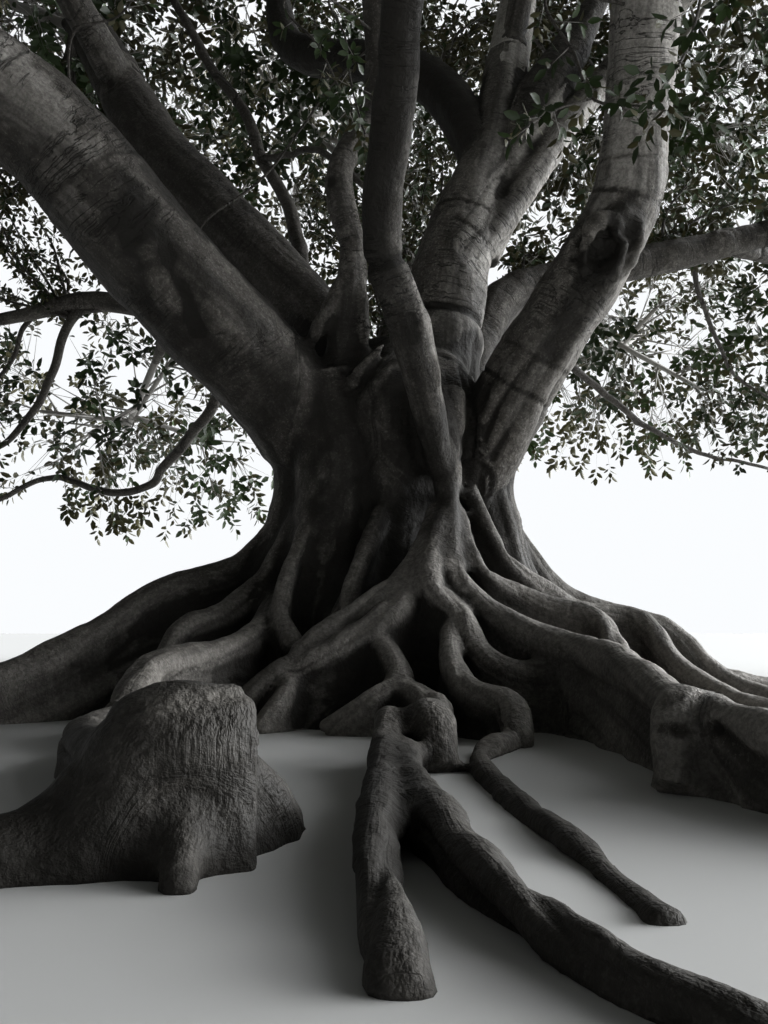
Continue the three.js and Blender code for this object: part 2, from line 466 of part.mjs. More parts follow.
// One mass of foliage: a stem that goes on from its bough, with every twig and spray fused to it.
function foliage(index, path, limbs) {
  const middle = BOUGHS[index].mass;
  const inward = heading(path, 1);
  const start = add(path[path.length - 1].slice(0, 3), scale(inward, STEM_GAP));
  const outer = add(middle, scale(inward, MASS_SPREAD * STEM_PAST_MIDDLE));
  const stem = [[...start, TIP_RADIUS], [...middle, TWIG_RADIUS], [...outer, TWIG_TIP_RADIUS]];
  const twigs = [];
  const others = [];
  others.push(...sprayOn(index, TWIGS_PER_MASS, 0, stem, { middle, limbs, others }));
  for (let twig = 0; twig < TWIGS_PER_MASS; twig++) {
    const route = twigPath(index, twig, stem, middle);
    const free = [0.4, 0.7, 1].every((u) => clearOfLimbs(along(route, u).slice(0, 3), TWIG_RADIUS, limbs));
    if (!free) continue;
    twigs.push(limb(route, TWIG_SIDES, 1));
    for (let n = 0; n < SPRAYS_PER_TWIG; n++) {
      others.push(...sprayOn(index, twig, n, route, { middle, limbs, others }));
    }
  }
  const sprays = others.map(({ solid }) => solid);
  return largest(wasm.Manifold.union([limb(stem, STEM_SIDES, 1), ...twigs, ...sprays]));
}

const COLOURS = {
  trunk: 0x6f6a61, root: 0x666058, bough: 0x77726a, foliage: 0x3f4f2c,
};
const material = (color, roughness) => new THREE.MeshStandardMaterial({ color, roughness, metalness: 0 });
const BARK = material(COLOURS.trunk, 0.85);
const ROOT_BARK = material(COLOURS.root, 0.9);
const BOUGH_BARK = material(COLOURS.bough, 0.8);
const LEAVES = material(COLOURS.foliage, 0.55);

// A named mesh of a solid.
function meshOf(name, solid, finish) {
  const { vertProperties, triVerts } = solid.getMesh();
  const geometry = new THREE.BufferGeometry();
  geometry.setAttribute("position", new THREE.BufferAttribute(vertProperties, 3));
  geometry.setIndex(new THREE.BufferAttribute(triVerts, 1));
  const mesh = new THREE.Mesh(geometry, finish);
  mesh.name = name;
  return mesh;
}

// The whole tree, each limb cut clear of the ones made before it.
function banyan() {
  const tree = new THREE.Group();
  const rearRoots = REAR_ROOT_AZIMUTHS.map((azimuth, i) => ({
    name: i < REAR_ROOT_NAMED ? `root_rear_${i + 1}` : undefined,
    fused: REAR_ROOT_FUSED,
    crest: rearCrest(azimuth, i),
  }));
  const roots = [...ROOTS, ...rearRoots];
  const boughs = BOUGHS.map((bough) => ({ ...bough, path: boughPath(bough) }));
  const trunkSolid = trunk(roots, boughs);
  tree.add(meshOf("trunk", trunkSolid, BARK));
  const made = [grown(trunkSolid)];
  const place = (name, solid, finish) => {
    const cleared = clearOf(solid, made);
    made.push(grown(cleared));
    tree.add(meshOf(name, cleared, finish));
  };
  for (const { name, fused, crest, knee } of roots.filter((r) => r.name)) {
    const outer = root(crest, pastJoint(crest, fused));
    place(name, knee ? outer.add(root(knee)) : outer, ROOT_BARK);
  }
  for (const { name, ridges } of SURFACE_ROOTS) {
    place(name, wasm.Manifold.union(ridges.map((ridge) => root(ridge))), ROOT_BARK);
  }
  for (const { place: where, from, path, fused } of boughs) {
    const first = from === "trunk";
    const start = first ? pastJoint(path, fused) : 0;
    const sides = first ? BOUGH_SIDES : SIDE_BOUGH_SIDES;
    place(`bough_${where}`, limb(path, sides, BOUGH_STEPS_PER_POINT, start), BOUGH_BARK);
  }
  const limbs = boughs.flatMap(({ path }) => parameters(path, LIMB_STATIONS).map((u) => along(path, u)));
  boughs.forEach(({ place: where, path, mass }, i) => {
    const near = limbs.filter((p) => {
      const apart = length(subtract(p.slice(0, 3), mass));
      return apart > OWN_TIP && apart < 2 * MASS_SPREAD;
    });
    tree.add(meshOf(`foliage_${where}`, clearOf(foliage(i, path, near), made), LEAVES));
  });
  return tree;
}

export default banyan();
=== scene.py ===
"""A banyan fig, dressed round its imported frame: bark with relief, fine twigs, leaves, a floor and soft light.

Metres, +Z up. The tree stands on z = 0, and is seen from -Y as in the photograph.
"""

import math

import bpy
import numpy as np
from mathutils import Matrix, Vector
from mathutils.kdtree import KDTree


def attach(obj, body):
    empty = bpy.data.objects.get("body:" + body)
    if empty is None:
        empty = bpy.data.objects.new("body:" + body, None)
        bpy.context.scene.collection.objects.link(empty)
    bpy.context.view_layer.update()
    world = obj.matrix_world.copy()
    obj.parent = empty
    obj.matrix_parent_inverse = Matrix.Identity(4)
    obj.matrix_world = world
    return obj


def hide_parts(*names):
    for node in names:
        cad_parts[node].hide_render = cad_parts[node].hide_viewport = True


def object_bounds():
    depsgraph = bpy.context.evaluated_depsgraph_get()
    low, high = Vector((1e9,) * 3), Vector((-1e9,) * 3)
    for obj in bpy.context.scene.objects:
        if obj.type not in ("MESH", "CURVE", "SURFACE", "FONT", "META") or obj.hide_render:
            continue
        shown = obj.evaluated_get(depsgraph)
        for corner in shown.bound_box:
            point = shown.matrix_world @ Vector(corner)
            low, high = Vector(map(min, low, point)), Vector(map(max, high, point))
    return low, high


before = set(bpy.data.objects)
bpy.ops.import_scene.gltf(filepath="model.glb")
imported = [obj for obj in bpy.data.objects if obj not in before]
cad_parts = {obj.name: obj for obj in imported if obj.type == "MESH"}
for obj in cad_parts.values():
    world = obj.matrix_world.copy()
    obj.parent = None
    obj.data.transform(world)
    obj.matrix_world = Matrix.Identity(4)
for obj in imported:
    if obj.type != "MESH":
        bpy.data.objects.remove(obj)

bl_info = {
    "name": "Banyan fig",
    "version": (1, 0, 0),
    "blender": (4, 5, 0),
    "location": "3D View > Sidebar > Banyan",
    "description": "Bark, twigs, leaves and stage for a banyan fig",
    "category": "Object",
}

CAD_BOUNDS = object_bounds()
NODE_NAMES = sorted(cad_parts)

# Numbers of the repeatable chance and of the turn from one twig or leaf to the next.
WAVE_SIZE = 43758.5453
GOLDEN_ANGLE = math.pi * (3 - math.sqrt(5))

# Trunk: [height, radius] of its core, and round columns fused to it as [x, y, z, radius].
CORE_PROFILE = np.array([
    [-0.06, 2.0], [0, 1.98], [0.35, 1.72], [0.8, 1.42], [1.3, 1.17], [1.9, 1.04],
    [2.5, 1.04], [3.1, 1.06], [3.6, 0.9], [3.95, 0.5], [4.05, 0.05],
])
CORE_FLUTES = 7
CORE_FLUTE_DEPTH = 0.05
COLUMNS = [
    [[-1.3, -0.45, 0.9, 0.42], [-1.0, -0.3, 2.3, 0.32], [-1.05, -0.45, 2.9, 0.45], [-1.5, -0.8, 3.6, 0.5]],
    [[-0.75, -0.95, 0.7, 0.4], [-0.62, -0.7, 2.3, 0.42], [-0.72, -0.6, 3.5, 0.36]],
    [[0.5, -1.36, 1.5, 0.1], [0.52, -1.14, 2.3, 0.16], [0.42, -0.9, 3.2, 0.34]],
    [[1.25, -0.35, 0.8, 0.42], [0.98, -0.25, 2.3, 0.34], [1.1, -0.45, 3.0, 0.4]],
    [[1.0, 1.0, 0.6, 0.45], [0.7, 0.7, 2.3, 0.42], [0.95, 1.2, 3.6, 0.36]],
    [[-0.2, 1.4, 0.6, 0.45], [0.0, 0.85, 2.3, 0.42], [0.1, 1.35, 3.7, 0.4]],
    [[-1.1, 0.9, 0.6, 0.45], [-0.75, 0.6, 2.3, 0.42], [-1.15, 1.1, 3.6, 0.38]],
]

# Roots: crest lines of [x, y, z, half-width].
ROOTS = [
    [[-0.9, -0.1, 2.5, 0.3], [-1.52, -0.5, 1.68, 0.28], [-2.24, -1.0, 1.35, 0.24],
     [-2.95, -1.4, 0.85, 0.22], [-3.8, -2.1, 0.4, 0.2], [-4.9, -2.9, 0.06, 0.14]],
    [[-0.95, -0.6, 2.2, 0.2], [-1.27, -0.9, 1.49, 0.16], [-1.6, -1.3, 1.1, 0.14],
     [-1.99, -1.72, 0.87, 0.12], [-2.12, -2.1, 0.3, 0.12], [-2.16, -2.3, 0.05, 0.1]],
    [[-1.1, -1.0, 1.3, 0.2], [-1.25, -1.7, 0.9, 0.15], [-1.5, -2.3, 0.75, 0.14], [-1.86, -3.0, 0.66, 0.16],
     [-1.9, -3.6, 0.4, 0.16]],
    [[-0.72, -0.8, 2.3, 0.16], [-0.99, -1.3, 1.53, 0.1], [-1.05, -1.6, 1.09, 0.09],
     [-0.95, -1.85, 0.84, 0.09], [-0.8, -2.05, 0.7, 0.08]],
    [[-0.12, -1.0, 2.1, 0.12], [-0.31, -1.4, 1.57, 0.08], [-0.4, -1.55, 1.28, 0.08],
     [-0.47, -1.75, 0.9, 0.08]],
    [[-0.3, -1.2, 1.5, 0.12], [-0.5, -1.5, 1.1, 0.07], [-0.63, -1.75, 0.8, 0.07]],
    [[0.42, -1.22, 2.1, 0.1], [0.13, -1.75, 1.45, 0.11], [-0.27, -1.97, 1.12, 0.09],
     [-0.6, -2.1, 0.9, 0.09], [-0.86, -2.2, 0.7, 0.09]],
    [[0.46, -1.28, 2.0, 0.1], [0.06, -1.98, 1.18, 0.13], [-0.44, -2.18, 0.82, 0.16],
     [-0.98, -2.28, 0.56, 0.14], [-1.32, -2.42, 0.3, 0.1], [-1.6, -2.6, 0.05, 0.08]],
    [[-0.2, -2.0, 0.9, 0.14], [0.03, -2.55, 0.55, 0.1], [-0.22, -2.78, 0.35, 0.1],
     [-0.56, -2.75, 0.06, 0.09]],
    [[-0.95, -2.2, 0.55, 0.1], [-0.9, -2.45, 0.4, 0.07], [-1.12, -2.68, 0.05, 0.06]],
    [[0.5, -1.28, 2.1, 0.1], [0.3, -1.9, 1.4, 0.11], [0.56, -2.12, 1.05, 0.12], [0.68, -2.36, 0.75, 0.1],
     [0.95, -2.52, 0.58, 0.1], [1.2, -2.45, 0.6, 0.1]],
    [[0.5, -2.0, 1.0, 0.12], [0.45, -2.5, 0.7, 0.08], [0.56, -2.85, 0.45, 0.1], [0.84, -3.2, 0.34, 0.09],
     [0.84, -3.5, 0.05, 0.09]],
    [[0.55, -1.22, 2.2, 0.1], [0.58, -1.8, 1.4, 0.13], [1.1, -2.15, 0.95, 0.16], [1.6, -3.0, 0.73, 0.17],
     [1.68, -4.5, 0.5, 0.18], [1.66, -5.2, 0.5, 0.18], [1.95, -5.95, 0.4, 0.18], [2.4, -6.9, 0.04, 0.14]],
    [[1.7, -4.95, 0.5, 0.14], [1.46, -5.12, 0.54, 0.13], [1.36, -5.3, 0.05, 0.13]],
    [[0.62, -1.15, 2.1, 0.1], [0.8, -1.58, 1.48, 0.1], [1.28, -1.55, 1.2, 0.12], [1.86, -1.7, 1.01, 0.12],
     [1.9, -2.25, 0.7, 0.12]],
    [[0.72, -0.95, 2.35, 0.12], [1.16, -1.05, 1.55, 0.12], [1.84, -0.8, 1.14, 0.14],
     [2.5, -0.75, 1.02, 0.14], [2.75, -1.5, 0.5, 0.14], [3.4, -2.6, 0.05, 0.12]],
    [[0.95, -0.05, 2.5, 0.3], [1.69, 0.0, 1.46, 0.22], [2.29, 0.0, 1.13, 0.2], [3.0, -0.05, 0.92, 0.17],
     [3.5, -0.25, 0.42, 0.16], [4.2, -0.7, 0.05, 0.12]],
    [[-1.9, -3.6, 0.36, 0.16], [-1.85, -4.6, 0.3, 0.16], [-1.3, -5.7, 0.38, 0.2], [-0.8, -6.5, 0.62, 0.2]],
    [[-0.61, -6.5, 0.62, 0.2], [-0.8, -6.56, 0.63, 0.25], [-0.98, -6.6, 0.62, 0.26],
     [-1.09, -6.64, 0.47, 0.26], [-1.3, -6.74, 0.25, 0.24], [-1.8, -6.95, 0.05, 0.18]],
    [[-0.8, -6.6, 0.24, 0.06], [-0.78, -6.82, 0.16, 0.03], [-0.76, -7.0, 0.03, 0.01]],
    [[-0.75, -6.5, 0.5, 0.14], [-0.58, -6.32, 0.3, 0.1], [-0.48, -6.2, 0.04, 0.08]],
    [[-0.05, -2.5, 0.5, 0.1], [0.28, -3.05, 0.36, 0.1], [0.25, -3.7, 0.26, 0.1], [0.12, -4.45, 0.4, 0.18]],
    [[-0.08, -4.3, 0.38, 0.09], [-0.1, -5.0, 0.27, 0.07], [-0.13, -6.5, 0.21, 0.06],
     [-0.1, -7.35, 0.17, 0.045], [-0.07, -7.8, 0.03, 0.04]],
    [[0.16, -4.2, 0.42, 0.14], [0.2, -4.5, 0.38, 0.14], [0.22, -4.62, 0.03, 0.12]],
    [[0.02, -4.7, 0.25, 0.1], [0.02, -5.3, 0.24, 0.08], [0.13, -6.7, 0.2, 0.07], [0.28, -7.3, 0.17, 0.05],
     [0.46, -7.8, 0.13, 0.045], [0.92, -8.4, 0.02, 0.04]],
    [[0.8, -3.45, 0.12, 0.05], [0.5, -4.2, 0.09, 0.045], [0.52, -5.4, 0.08, 0.045],
     [0.72, -7.3, 0.02, 0.035]],
]

# Roots round the back: where they point, their reach, how far they swing aside, and their shoulders' height.
REAR_ROOT_AZIMUTHS = [24, 47, 70, 92, 114, 137, 160, 181]
REAR_ROOT_REACH = 4.6
REAR_ROOT_SWING = 0.5
SHOULDER_LEAST = 1.35
SHOULDER_RANGE = 0.35

# A root is a wall that widens to its foot on the ground, with a round bead along its crest.
FOOT_PER_HEIGHT = 0.16
WALL_SHARE = 0.72
WALL_BELOW = 0.06
WALL_LEAST = 0.02
BEAD_LEAST = 0.055
BEAD_SHARE = 0.62

# The wood's mesh: the sides of each kind of limb, and how many cells its rings are apart.
CORE_SIDES = 96
CORE_RINGS = 60
LIMB_SIDES = 28
ROOT_SIDES = 16
ROOT_SHARES = np.linspace(0, 1, 12) ** 0.8
TUBE_SIDES = 20
THIN_SIDES = 8
TWIG_SIDES = 5
DETAIL_RINGS = 24
RING_CELLS = 1.5
TUBE_STEP = 0.1
THIN_STEP = 0.08
TABLE_STEP = 0.12
LEAST_STEPS = 8
LENGTH_POINTS = 65
SKIN_OVERLAP = 0.03

# The skin's pieces part at a height and, below it, at a y. The upward sides stay a little above the floor.
LOW_WOOD = 1.15
FRONT_WOOD = -0.6
FLOOR_CLEARANCE = 0.012

# The grain drifts along a limb. It is smoothed, and so is the tone.
GRAIN_DRIFT = np.array([0.06, 0.05, 0.09])
GRAIN_PASSES = 6
TONE_PASSES = 12

# The relief: narrow grooves that are less deep above the fork, and less of everything on a thin limb.
GROOVE_WIDTH = 0.09
GROOVE_DEPTH = 0.75
GROOVE_LESS = 0.5
GROOVE_TOP = 3.2
FULL_RELIEF_RADIUS = 0.4

# Hollows, which the bark colour darkens as painted shade while it paints light on the crests: how often the
# skin is smoothed for the near and the broad surface, the depth below each that counts as one, and the share of
# each.
NEAR_PASSES = 16
BROAD_PASSES = 70
FINE_DEPTH = 0.02
BROAD_DEPTH = 0.075
FINE_SHARE = 0.45
BROAD_SHARE = 0.75

# Painted shade where other wood stands in front of a place: cell, step along the normal, least share of full
# cells and gain.
CROWD_CELL = 0.12
CROWD_STEP = 0.35
CROWD_LEAST = 0.12
CROWD_GAIN = 6.0

# The barks: how pale, how creased and how fibrous. The fine relief is a bump in the shader.
BARKS = {
    "trunk_bark": (0.22, 1.0, 0.16),
    "root_bark": (0.34, 0.7, 0.32),
    "bough_bark": (0.3, 1.0, 0.14),
}
BUMP_DEPTH = 0.045
BARK_GLOSS = 0.3
LEAF_GLOSS = 0.4
LEAF_ROUGHNESS = 0.42

# The healed wound on the right bough: how deep and far the torn wood goes, its collars and its mouth.
TORN_DEPTH = 0.07
TORN_REACH = 0.4
MOUTH_DEPTH = 0.2
MOUTH_RADIUS = 0.11
WOUND_COLLARS = [
    [[2.15, -1.2, 4.2, 0.1], [2.22, -1.28, 4.65, 0.15], [2.25, -1.26, 4.95, 0.08]],
    [[1.9, -1.28, 4.3, 0.03], [1.93, -1.35, 4.5, 0.05], [1.97, -1.4, 4.72, 0.065],
     [2.06, -1.43, 4.87, 0.06], [2.2, -1.46, 4.88, 0.05], [2.26, -1.44, 4.78, 0.03]],
    [[2.16, -1.4, 4.86, 0.03], [2.3, -1.42, 4.96, 0.08], [2.42, -1.36, 4.93, 0.1],
     [2.48, -1.33, 4.78, 0.09], [2.42, -1.32, 4.55, 0.06], [2.3, -1.28, 4.35, 0.03]],
    [[2.22, -1.4, 4.83, 0.03], [2.21, -1.44, 4.7, 0.05], [2.26, -1.42, 4.55, 0.06],
     [2.2, -1.36, 4.36, 0.04]],
]
WOUND_MOUTH = (2.08, -1.44, 4.57)

# Boughs: place, how far it is part of the wood's skin, points of [x, y, z, radius], and the middle of the
# mass of foliage that it enters.
TIP_RADIUS = 0.075
BOUGHS = [
    ("left_front", 0.62,
     [[-0.6, -0.2, 2.5, 0.5], [-1.2, -0.6, 3.3, 0.56], [-2.6, -1.43, 4.71, 0.56],
      [-3.46, -1.96, 5.62, 0.52], [-5.6, -3.1, 6.9, 0.35]],
     (-10.0, -4.9, 7.3)),
    ("left", 0.15, [[-4.3, -2.4, 6.25, 0.24], [-6.2, -1.6, 6.9, 0.19]], (-11.2, 0.0, 6.2)),
    ("front_left", 0.15, [[-3.8, -2.12, 5.95, 0.22], [-4.4, -4.4, 7.6, 0.17]],
     (-6.3, -8.8, 8.3)),
    ("left_rear_high", 0.6,
     [[-0.3, 0.1, 3.0, 0.46], [-0.85, 0.35, 4.3, 0.44], [-2.21, 0.7, 5.95, 0.41], [-3.11, 0.9, 7.06, 0.38],
      [-4.1, 1.4, 8.9, 0.28]],
     (-6.4, 3.4, 10.9)),
    ("left_front_high", 0.15, [[-3.5, 1.1, 7.75, 0.24], [-4.4, -0.3, 9.3, 0.18]],
     (-6.4, -3.2, 11.4)),
    ("crown_front_left", 0.5,
     [[-0.64, -0.5, 3.2, 0.21], [-0.44, -0.8, 4.7, 0.17], [-0.58, -0.78, 5.7, 0.17],
      [-0.15, -0.5, 7.2, 0.16], [-0.6, -1.2, 10.6, 0.13]],
     (-2.3, -2.3, 14.9)),
    ("front", 0.6,
     [[0.5, -1.1, 2.25, 0.12], [0.15, -1.8, 3.61, 0.2], [-0.12, -2.12, 4.4, 0.18], [0.03, -3.0, 5.5, 0.18],
      [0.2, -4.9, 7.3, 0.17]],
     (-0.2, -10.4, 8.9)),
    ("front_high", 0.15, [[0.12, -4.2, 6.75, 0.13], [-0.1, -5.1, 8.6, 0.12]], (-1.6, -6.5, 11.8)),
    ("crown_rear_right", 0.6,
     [[0.42, -0.1, 3.0, 0.48], [0.62, 0.0, 4.58, 0.45], [0.88, 0.12, 5.6, 0.4], [1.25, 0.42, 6.7, 0.31],
      [1.75, 1.3, 9.4, 0.24]],
     (2.4, 2.4, 14.9)),
    ("right_high", 0.5,
     [[0.85, 0.0, 5.05, 0.26], [1.5, 0.1, 5.95, 0.2], [2.45, 0.4, 7.36, 0.18], [4.2, 0.5, 9.3, 0.15]],
     (7.2, 0.0, 10.9)),
    ("crown_front_right", 0.15, [[1.55, 0.95, 8.3, 0.18], [2.0, 0.1, 10.6, 0.15]],
     (2.4, -2.3, 14.9)),
    ("front_right_high", 0.64,
     [[0.7, -0.3, 2.2, 0.4], [1.43, -0.8, 3.52, 0.4], [2.34, -1.07, 5.0, 0.37], [2.52, -1.35, 6.0, 0.345],
      [2.58, -1.9, 7.3, 0.32], [3.1, -3.5, 9.3, 0.22]],
     (4.5, -5.7, 11.9)),
    ("front_right", 0.15, [[2.66, -2.2, 7.75, 0.2], [3.8, -4.7, 8.5, 0.16]],
     (5.9, -8.8, 8.5)),
    ("right_front", 0.15, [[2.58, -1.85, 7.2, 0.22], [4.6, -2.7, 7.9, 0.19]],
     (10.0, -4.8, 7.5)),
    ("right", 0.62,
     [[0.6, 0.45, 3.2, 0.3], [1.1, 0.95, 4.4, 0.27], [1.75, 1.4, 5.25, 0.24], [3.75, 1.8, 5.85, 0.21],
      [6.2, 2.0, 6.5, 0.17]],
     (11.2, 0.6, 6.2)),
    ("right_rear", 0.15, [[4.6, 1.88, 6.1, 0.14], [6.2, 3.3, 6.4, 0.12]], (9.6, 5.7, 5.9)),
    ("crown_rear_left", 0.55,
     [[1.15, 0.35, 6.4, 0.3], [0.6, 0.85, 7.75, 0.29], [-0.3, 1.25, 8.35, 0.27], [-1.45, 2.0, 9.15, 0.23]],
     (-2.4, 2.4, 14.9)),
    ("rear", 0.45,
     [[0.0, 0.7, 2.8, 0.42], [0.1, 1.6, 4.1, 0.4], [0.3, 3.0, 5.8, 0.33], [0.3, 5.4, 7.1, 0.25]],
     (-0.2, 11.0, 6.6)),
    ("rear_high", 0.15, [[0.32, 4.3, 6.65, 0.19], [-0.2, 5.2, 8.4, 0.16]], (-1.6, 7.1, 10.9)),
    ("rear_right", 0.45,
     [[0.6, 0.7, 2.8, 0.38], [1.2, 1.7, 4.2, 0.34], [2.2, 3.2, 5.8, 0.29], [3.4, 5.4, 6.7, 0.22]],
     (5.2, 9.9, 7.2)),
    ("right_rear_high", 0.15, [[2.6, 3.9, 6.1, 0.18], [3.05, 4.3, 7.1, 0.15]],
     (4.6, 5.7, 10.4)),
    ("rear_left", 0.45,
     [[-0.6, 0.6, 2.7, 0.4], [-1.3, 1.5, 3.95, 0.37], [-2.4, 3.1, 5.4, 0.31], [-3.8, 5.4, 6.3, 0.24]],
     (-5.7, 9.6, 5.5)),
    ("left_rear", 0.15, [[-2.8, 3.8, 5.65, 0.19], [-4.9, 4.4, 6.2, 0.16]], (-10.2, 5.0, 5.4)),
]
PLACES = [bough[0] for bough in BOUGHS]
MASSES = np.array([bough[3] for bough in BOUGHS])
MASS_SPREAD = 4.0
MASS_HALF_HEIGHT = 3.3
BOUGH_ENTERS = 0.7

# Marks on the bark: from and to (x, y, z), radius, how far it stands out, and its tone, pale above 0. Most
# are stains and pale patches; the painted light and shade among them are noted.
MARKS = [
    ((-3.5, -2.5, 5.9), (-2.88, -2.1, 4.92), 0.32, 0.0, 1.15),
    ((-2.66, -2.04, 4.88), (-2.33, -1.8, 4.45), 0.26, -0.012, -0.8),
    ((-2.35, -1.79, 4.4), (-2.16, -1.6, 3.95), 0.12, 0.04, 0.9),
    ((-1.75, -1.52, 3.91), (-1.52, -1.38, 3.6), 0.14, 0.045, 0.8),
    ((-2.19, -1.78, 4.41), (-1.91, -1.45, 3.73), 0.08, -0.03, -0.8),
    ((-2.78, -1.92, 5.81), (-1.91, -1.56, 4.71), 0.14, 0.0, -0.6),
    # Painted highlight along the edge of the front bough's lip.
    ((0.36, -1.8, 3.4), (0.26, -2.0, 4.0), 0.1, 0.0, 1.1),
    # Paler bark along the right bough, partly painted light.
    ((2.35, -1.5, 5.4), (2.5, -2.2, 7.4), 0.55, 0.0, 0.75),
    # Painted shade on the trunk at the foot of the front bough.
    ((0.5, -1.3, 3.1), (0.5, -1.6, 1.6), 0.26, 0.0, -0.9),
    ((-4.2, -2.0, 7.0), (-1.1, -1.05, 4.1), 0.2, 0.0, -0.7),
    ((0.14, -2.02, 3.66), (0.16, -2.02, 3.62), 0.055, -0.035, -1.8),
    ((0.17, -1.98, 3.5), (0.19, -1.98, 3.46), 0.05, -0.03, -1.8),
    ((-0.67, -0.97, 5.55), (-0.67, -0.97, 5.52), 0.06, -0.03, -1.0),
    ((2.08, -1.45, 4.5), (2.33, -1.5, 4.88), 0.25, 0.0, -1.5),
    ((2.02, -1.4, 4.45), (1.62, -1.22, 3.6), 0.14, -0.02, -1.0),
    # Painted shade on the front of the trunk, in this mark and the next.
    ((-0.35, -1.25, 2.9), (-0.35, -1.25, 2.0), 0.55, 0.0, -0.7),
    ((-1.0, -0.9, 3.0), (-0.95, -0.9, 2.0), 0.4, 0.0, -0.4),
    ((1.33, -5.24, 0.32), (1.53, -5.4, 0.34), 0.04, -0.035, -0.9),
    ((1.53, -5.4, 0.34), (1.68, -5.68, 0.19), 0.045, -0.03, -0.9),
    ((1.36, -5.19, 0.46), (1.43, -5.2, 0.49), 0.045, -0.015, -0.6),
    # Painted shade on the low side of the left bough.
    ((-2.2, -1.6, 4.0), (-1.4, -1.1, 3.2), 0.4, 0.0, -0.6),
    # Painted highlight on the right edge of the middle bough.
    ((1.15, -0.2, 5.3), (0.98, -0.28, 4.1), 0.13, 0.0, 0.9),
    ((-0.08, -5.1, 0.3), (-0.12, -7.2, 0.2), 0.16, 0.0, -0.55),
    # Painted shade along the front bough.
    ((0.05, -3.3, 5.6), (0.2, -4.9, 7.3), 0.3, 0.0, -1.0),
    ((-0.68, -6.75, 0.56), (-0.92, -6.82, 0.4), 0.17, 0.0, 0.55),
    ((-1.5, -6.95, 0.12), (-0.45, -6.45, 0.06), 0.15, 0.0, -0.6),
]

# Creases and swellings right round a limb: middle, reach, half-width, how far they stand out, and their tone.
RINGS = [
    ((-0.08, -2.05, 4.2), 0.36, 0.05, -0.035, -1.0),
    ((0.6, 0.0, 4.25), 0.62, 0.05, -0.05, -1.3),
    ((0.58, 0.0, 4.05), 0.6, 0.12, 0.03, 0.0),
    ((1.0, -0.1, 5.2), 0.45, 0.022, -0.015, -1.0),
    ((0.75, 0.0, 5.62), 0.42, 0.022, -0.015, -0.9),
    ((1.35, -0.75, 3.3), 0.55, 0.022, -0.02, -1.1),
    ((1.5, -0.8, 3.62), 0.55, 0.02, -0.012, -0.9),
    ((2.44, -1.15, 5.22), 0.5, 0.03, -0.015, -1.0),
    ((2.52, -1.3, 5.6), 0.5, 0.02, -0.01, -0.7),
    ((2.52, -1.4, 6.05), 0.5, 0.02, -0.01, -0.7),
    ((-3.0, -1.7, 5.1), 0.8, 0.025, -0.01, -0.5),
]

# Small ridges of wood on the trunk and at the feet of the slim boughs: [x, y, z, radius].
LIPS = [
    [[0.12, -2.02, 4.1, 0.02], [0.27, -1.86, 3.6, 0.05], [0.4, -1.62, 3.1, 0.055],
     [0.45, -1.42, 2.75, 0.03], [0.46, -1.3, 2.55, 0.01]],
    [[-0.5, -0.92, 3.25, 0.03], [-0.38, -0.98, 3.42, 0.07], [-0.2, -1.0, 3.62, 0.05],
     [-0.1, -0.98, 3.74, 0.02]],
    [[-0.32, -0.98, 3.08, 0.03], [-0.2, -1.04, 3.24, 0.06], [-0.04, -1.05, 3.46, 0.02]],
    [[-0.95, -0.7, 3.7, 0.05], [-0.72, -0.86, 4.1, 0.1], [-0.5, -0.82, 4.6, 0.08],
     [-0.47, -0.8, 4.9, 0.03]],
    [[-0.3, -0.7, 3.6, 0.05], [-0.32, -0.8, 4.0, 0.09], [-0.36, -0.82, 4.5, 0.06],
     [-0.42, -0.8, 4.9, 0.03]],
]

# Wood that fills the fork of the middle bough.
WEBS = [
    [[0.95, 0.15, 5.2, 0.34], [1.4, 0.35, 6.3, 0.36], [1.85, 0.5, 7.3, 0.34], [2.3, 0.75, 8.2, 0.26],
     [2.8, 1.0, 9.2, 0.12]],
]

# Tone of the bark: above 0 it is mixed with the smooth pale bark, below 0 with the dark one. First each
# bough's, partly its own bark and partly painted light and shade: the dark tones paint the crown's shade, the
# highest pale ones paint light as well. Then how it grows with height, the painted light on the side that faces
# +X and the painted shade on the other side, then those of the other wood.
LIMB_TONES = {
    "front_right_high": 1.1, "crown_rear_right": 1.5, "right_high": 1.5, "left_front": -0.95, "front": -2.0,
    "crown_front_left": -0.4, "left_rear_high": -0.7, "crown_rear_left": -0.8, "right": -0.55,
}
TONE_FOOT = 2.7
TONE_RISE = 0.9
TONE_LOW = 0.3
TONE_GAIN = 0.3
TONE_FROM = 3.5
TONE_LEAST = 0.4
TONE_MOST = 1.3
PAINTED_LIGHT_ADDED = 0.1
PAINTED_LIGHT_LEVEL = 0.25
PAINTED_LIGHT_GAIN = 1.2
PAINTED_LIGHT_MOST = 1.4
PAINTED_SHADE_MOST = 1.1
PAINTED_SHADE_LESS = 0.6
# Painted shade in the fork of the middle bough.
WEB_TONE = -0.6
BRANCHLET_TONE = -0.4
STALK_TONE = -0.7

# Tones of the roots: dark near the camera; behind that and at the right a little paler, with painted light on
# their tops and on the sides that face the camera.
NEAR_ROOT_TONE = -1.0
NEAR_ROOTS_FROM = -3.4
NEAR_ROOTS_FADE = 1.5
NEAR_ROOTS_TOP = 1.2
RIGHT_ROOTS_FROM = 1.0
RIGHT_ROOTS_FADE = 0.2
FAR_ROOTS_FROM = -5.2
FAR_ROOTS_FADE = 1.2
ROOTS_TOP = 1.9
ROOT_TOP_PAINTED_LIGHT = 0.5
ROOT_TONE = 0.1
ROOT_FRONT_PAINTED_LIGHT = 0.3

# How much of the painted shade leaves the hollows between the roots, as if light reached them, and how much
# more at the right.
OPEN_LEAST = 0.45
OPEN_RIGHT = 0.4
OPEN_FROM = 0.4
OPEN_RISE = 0.8

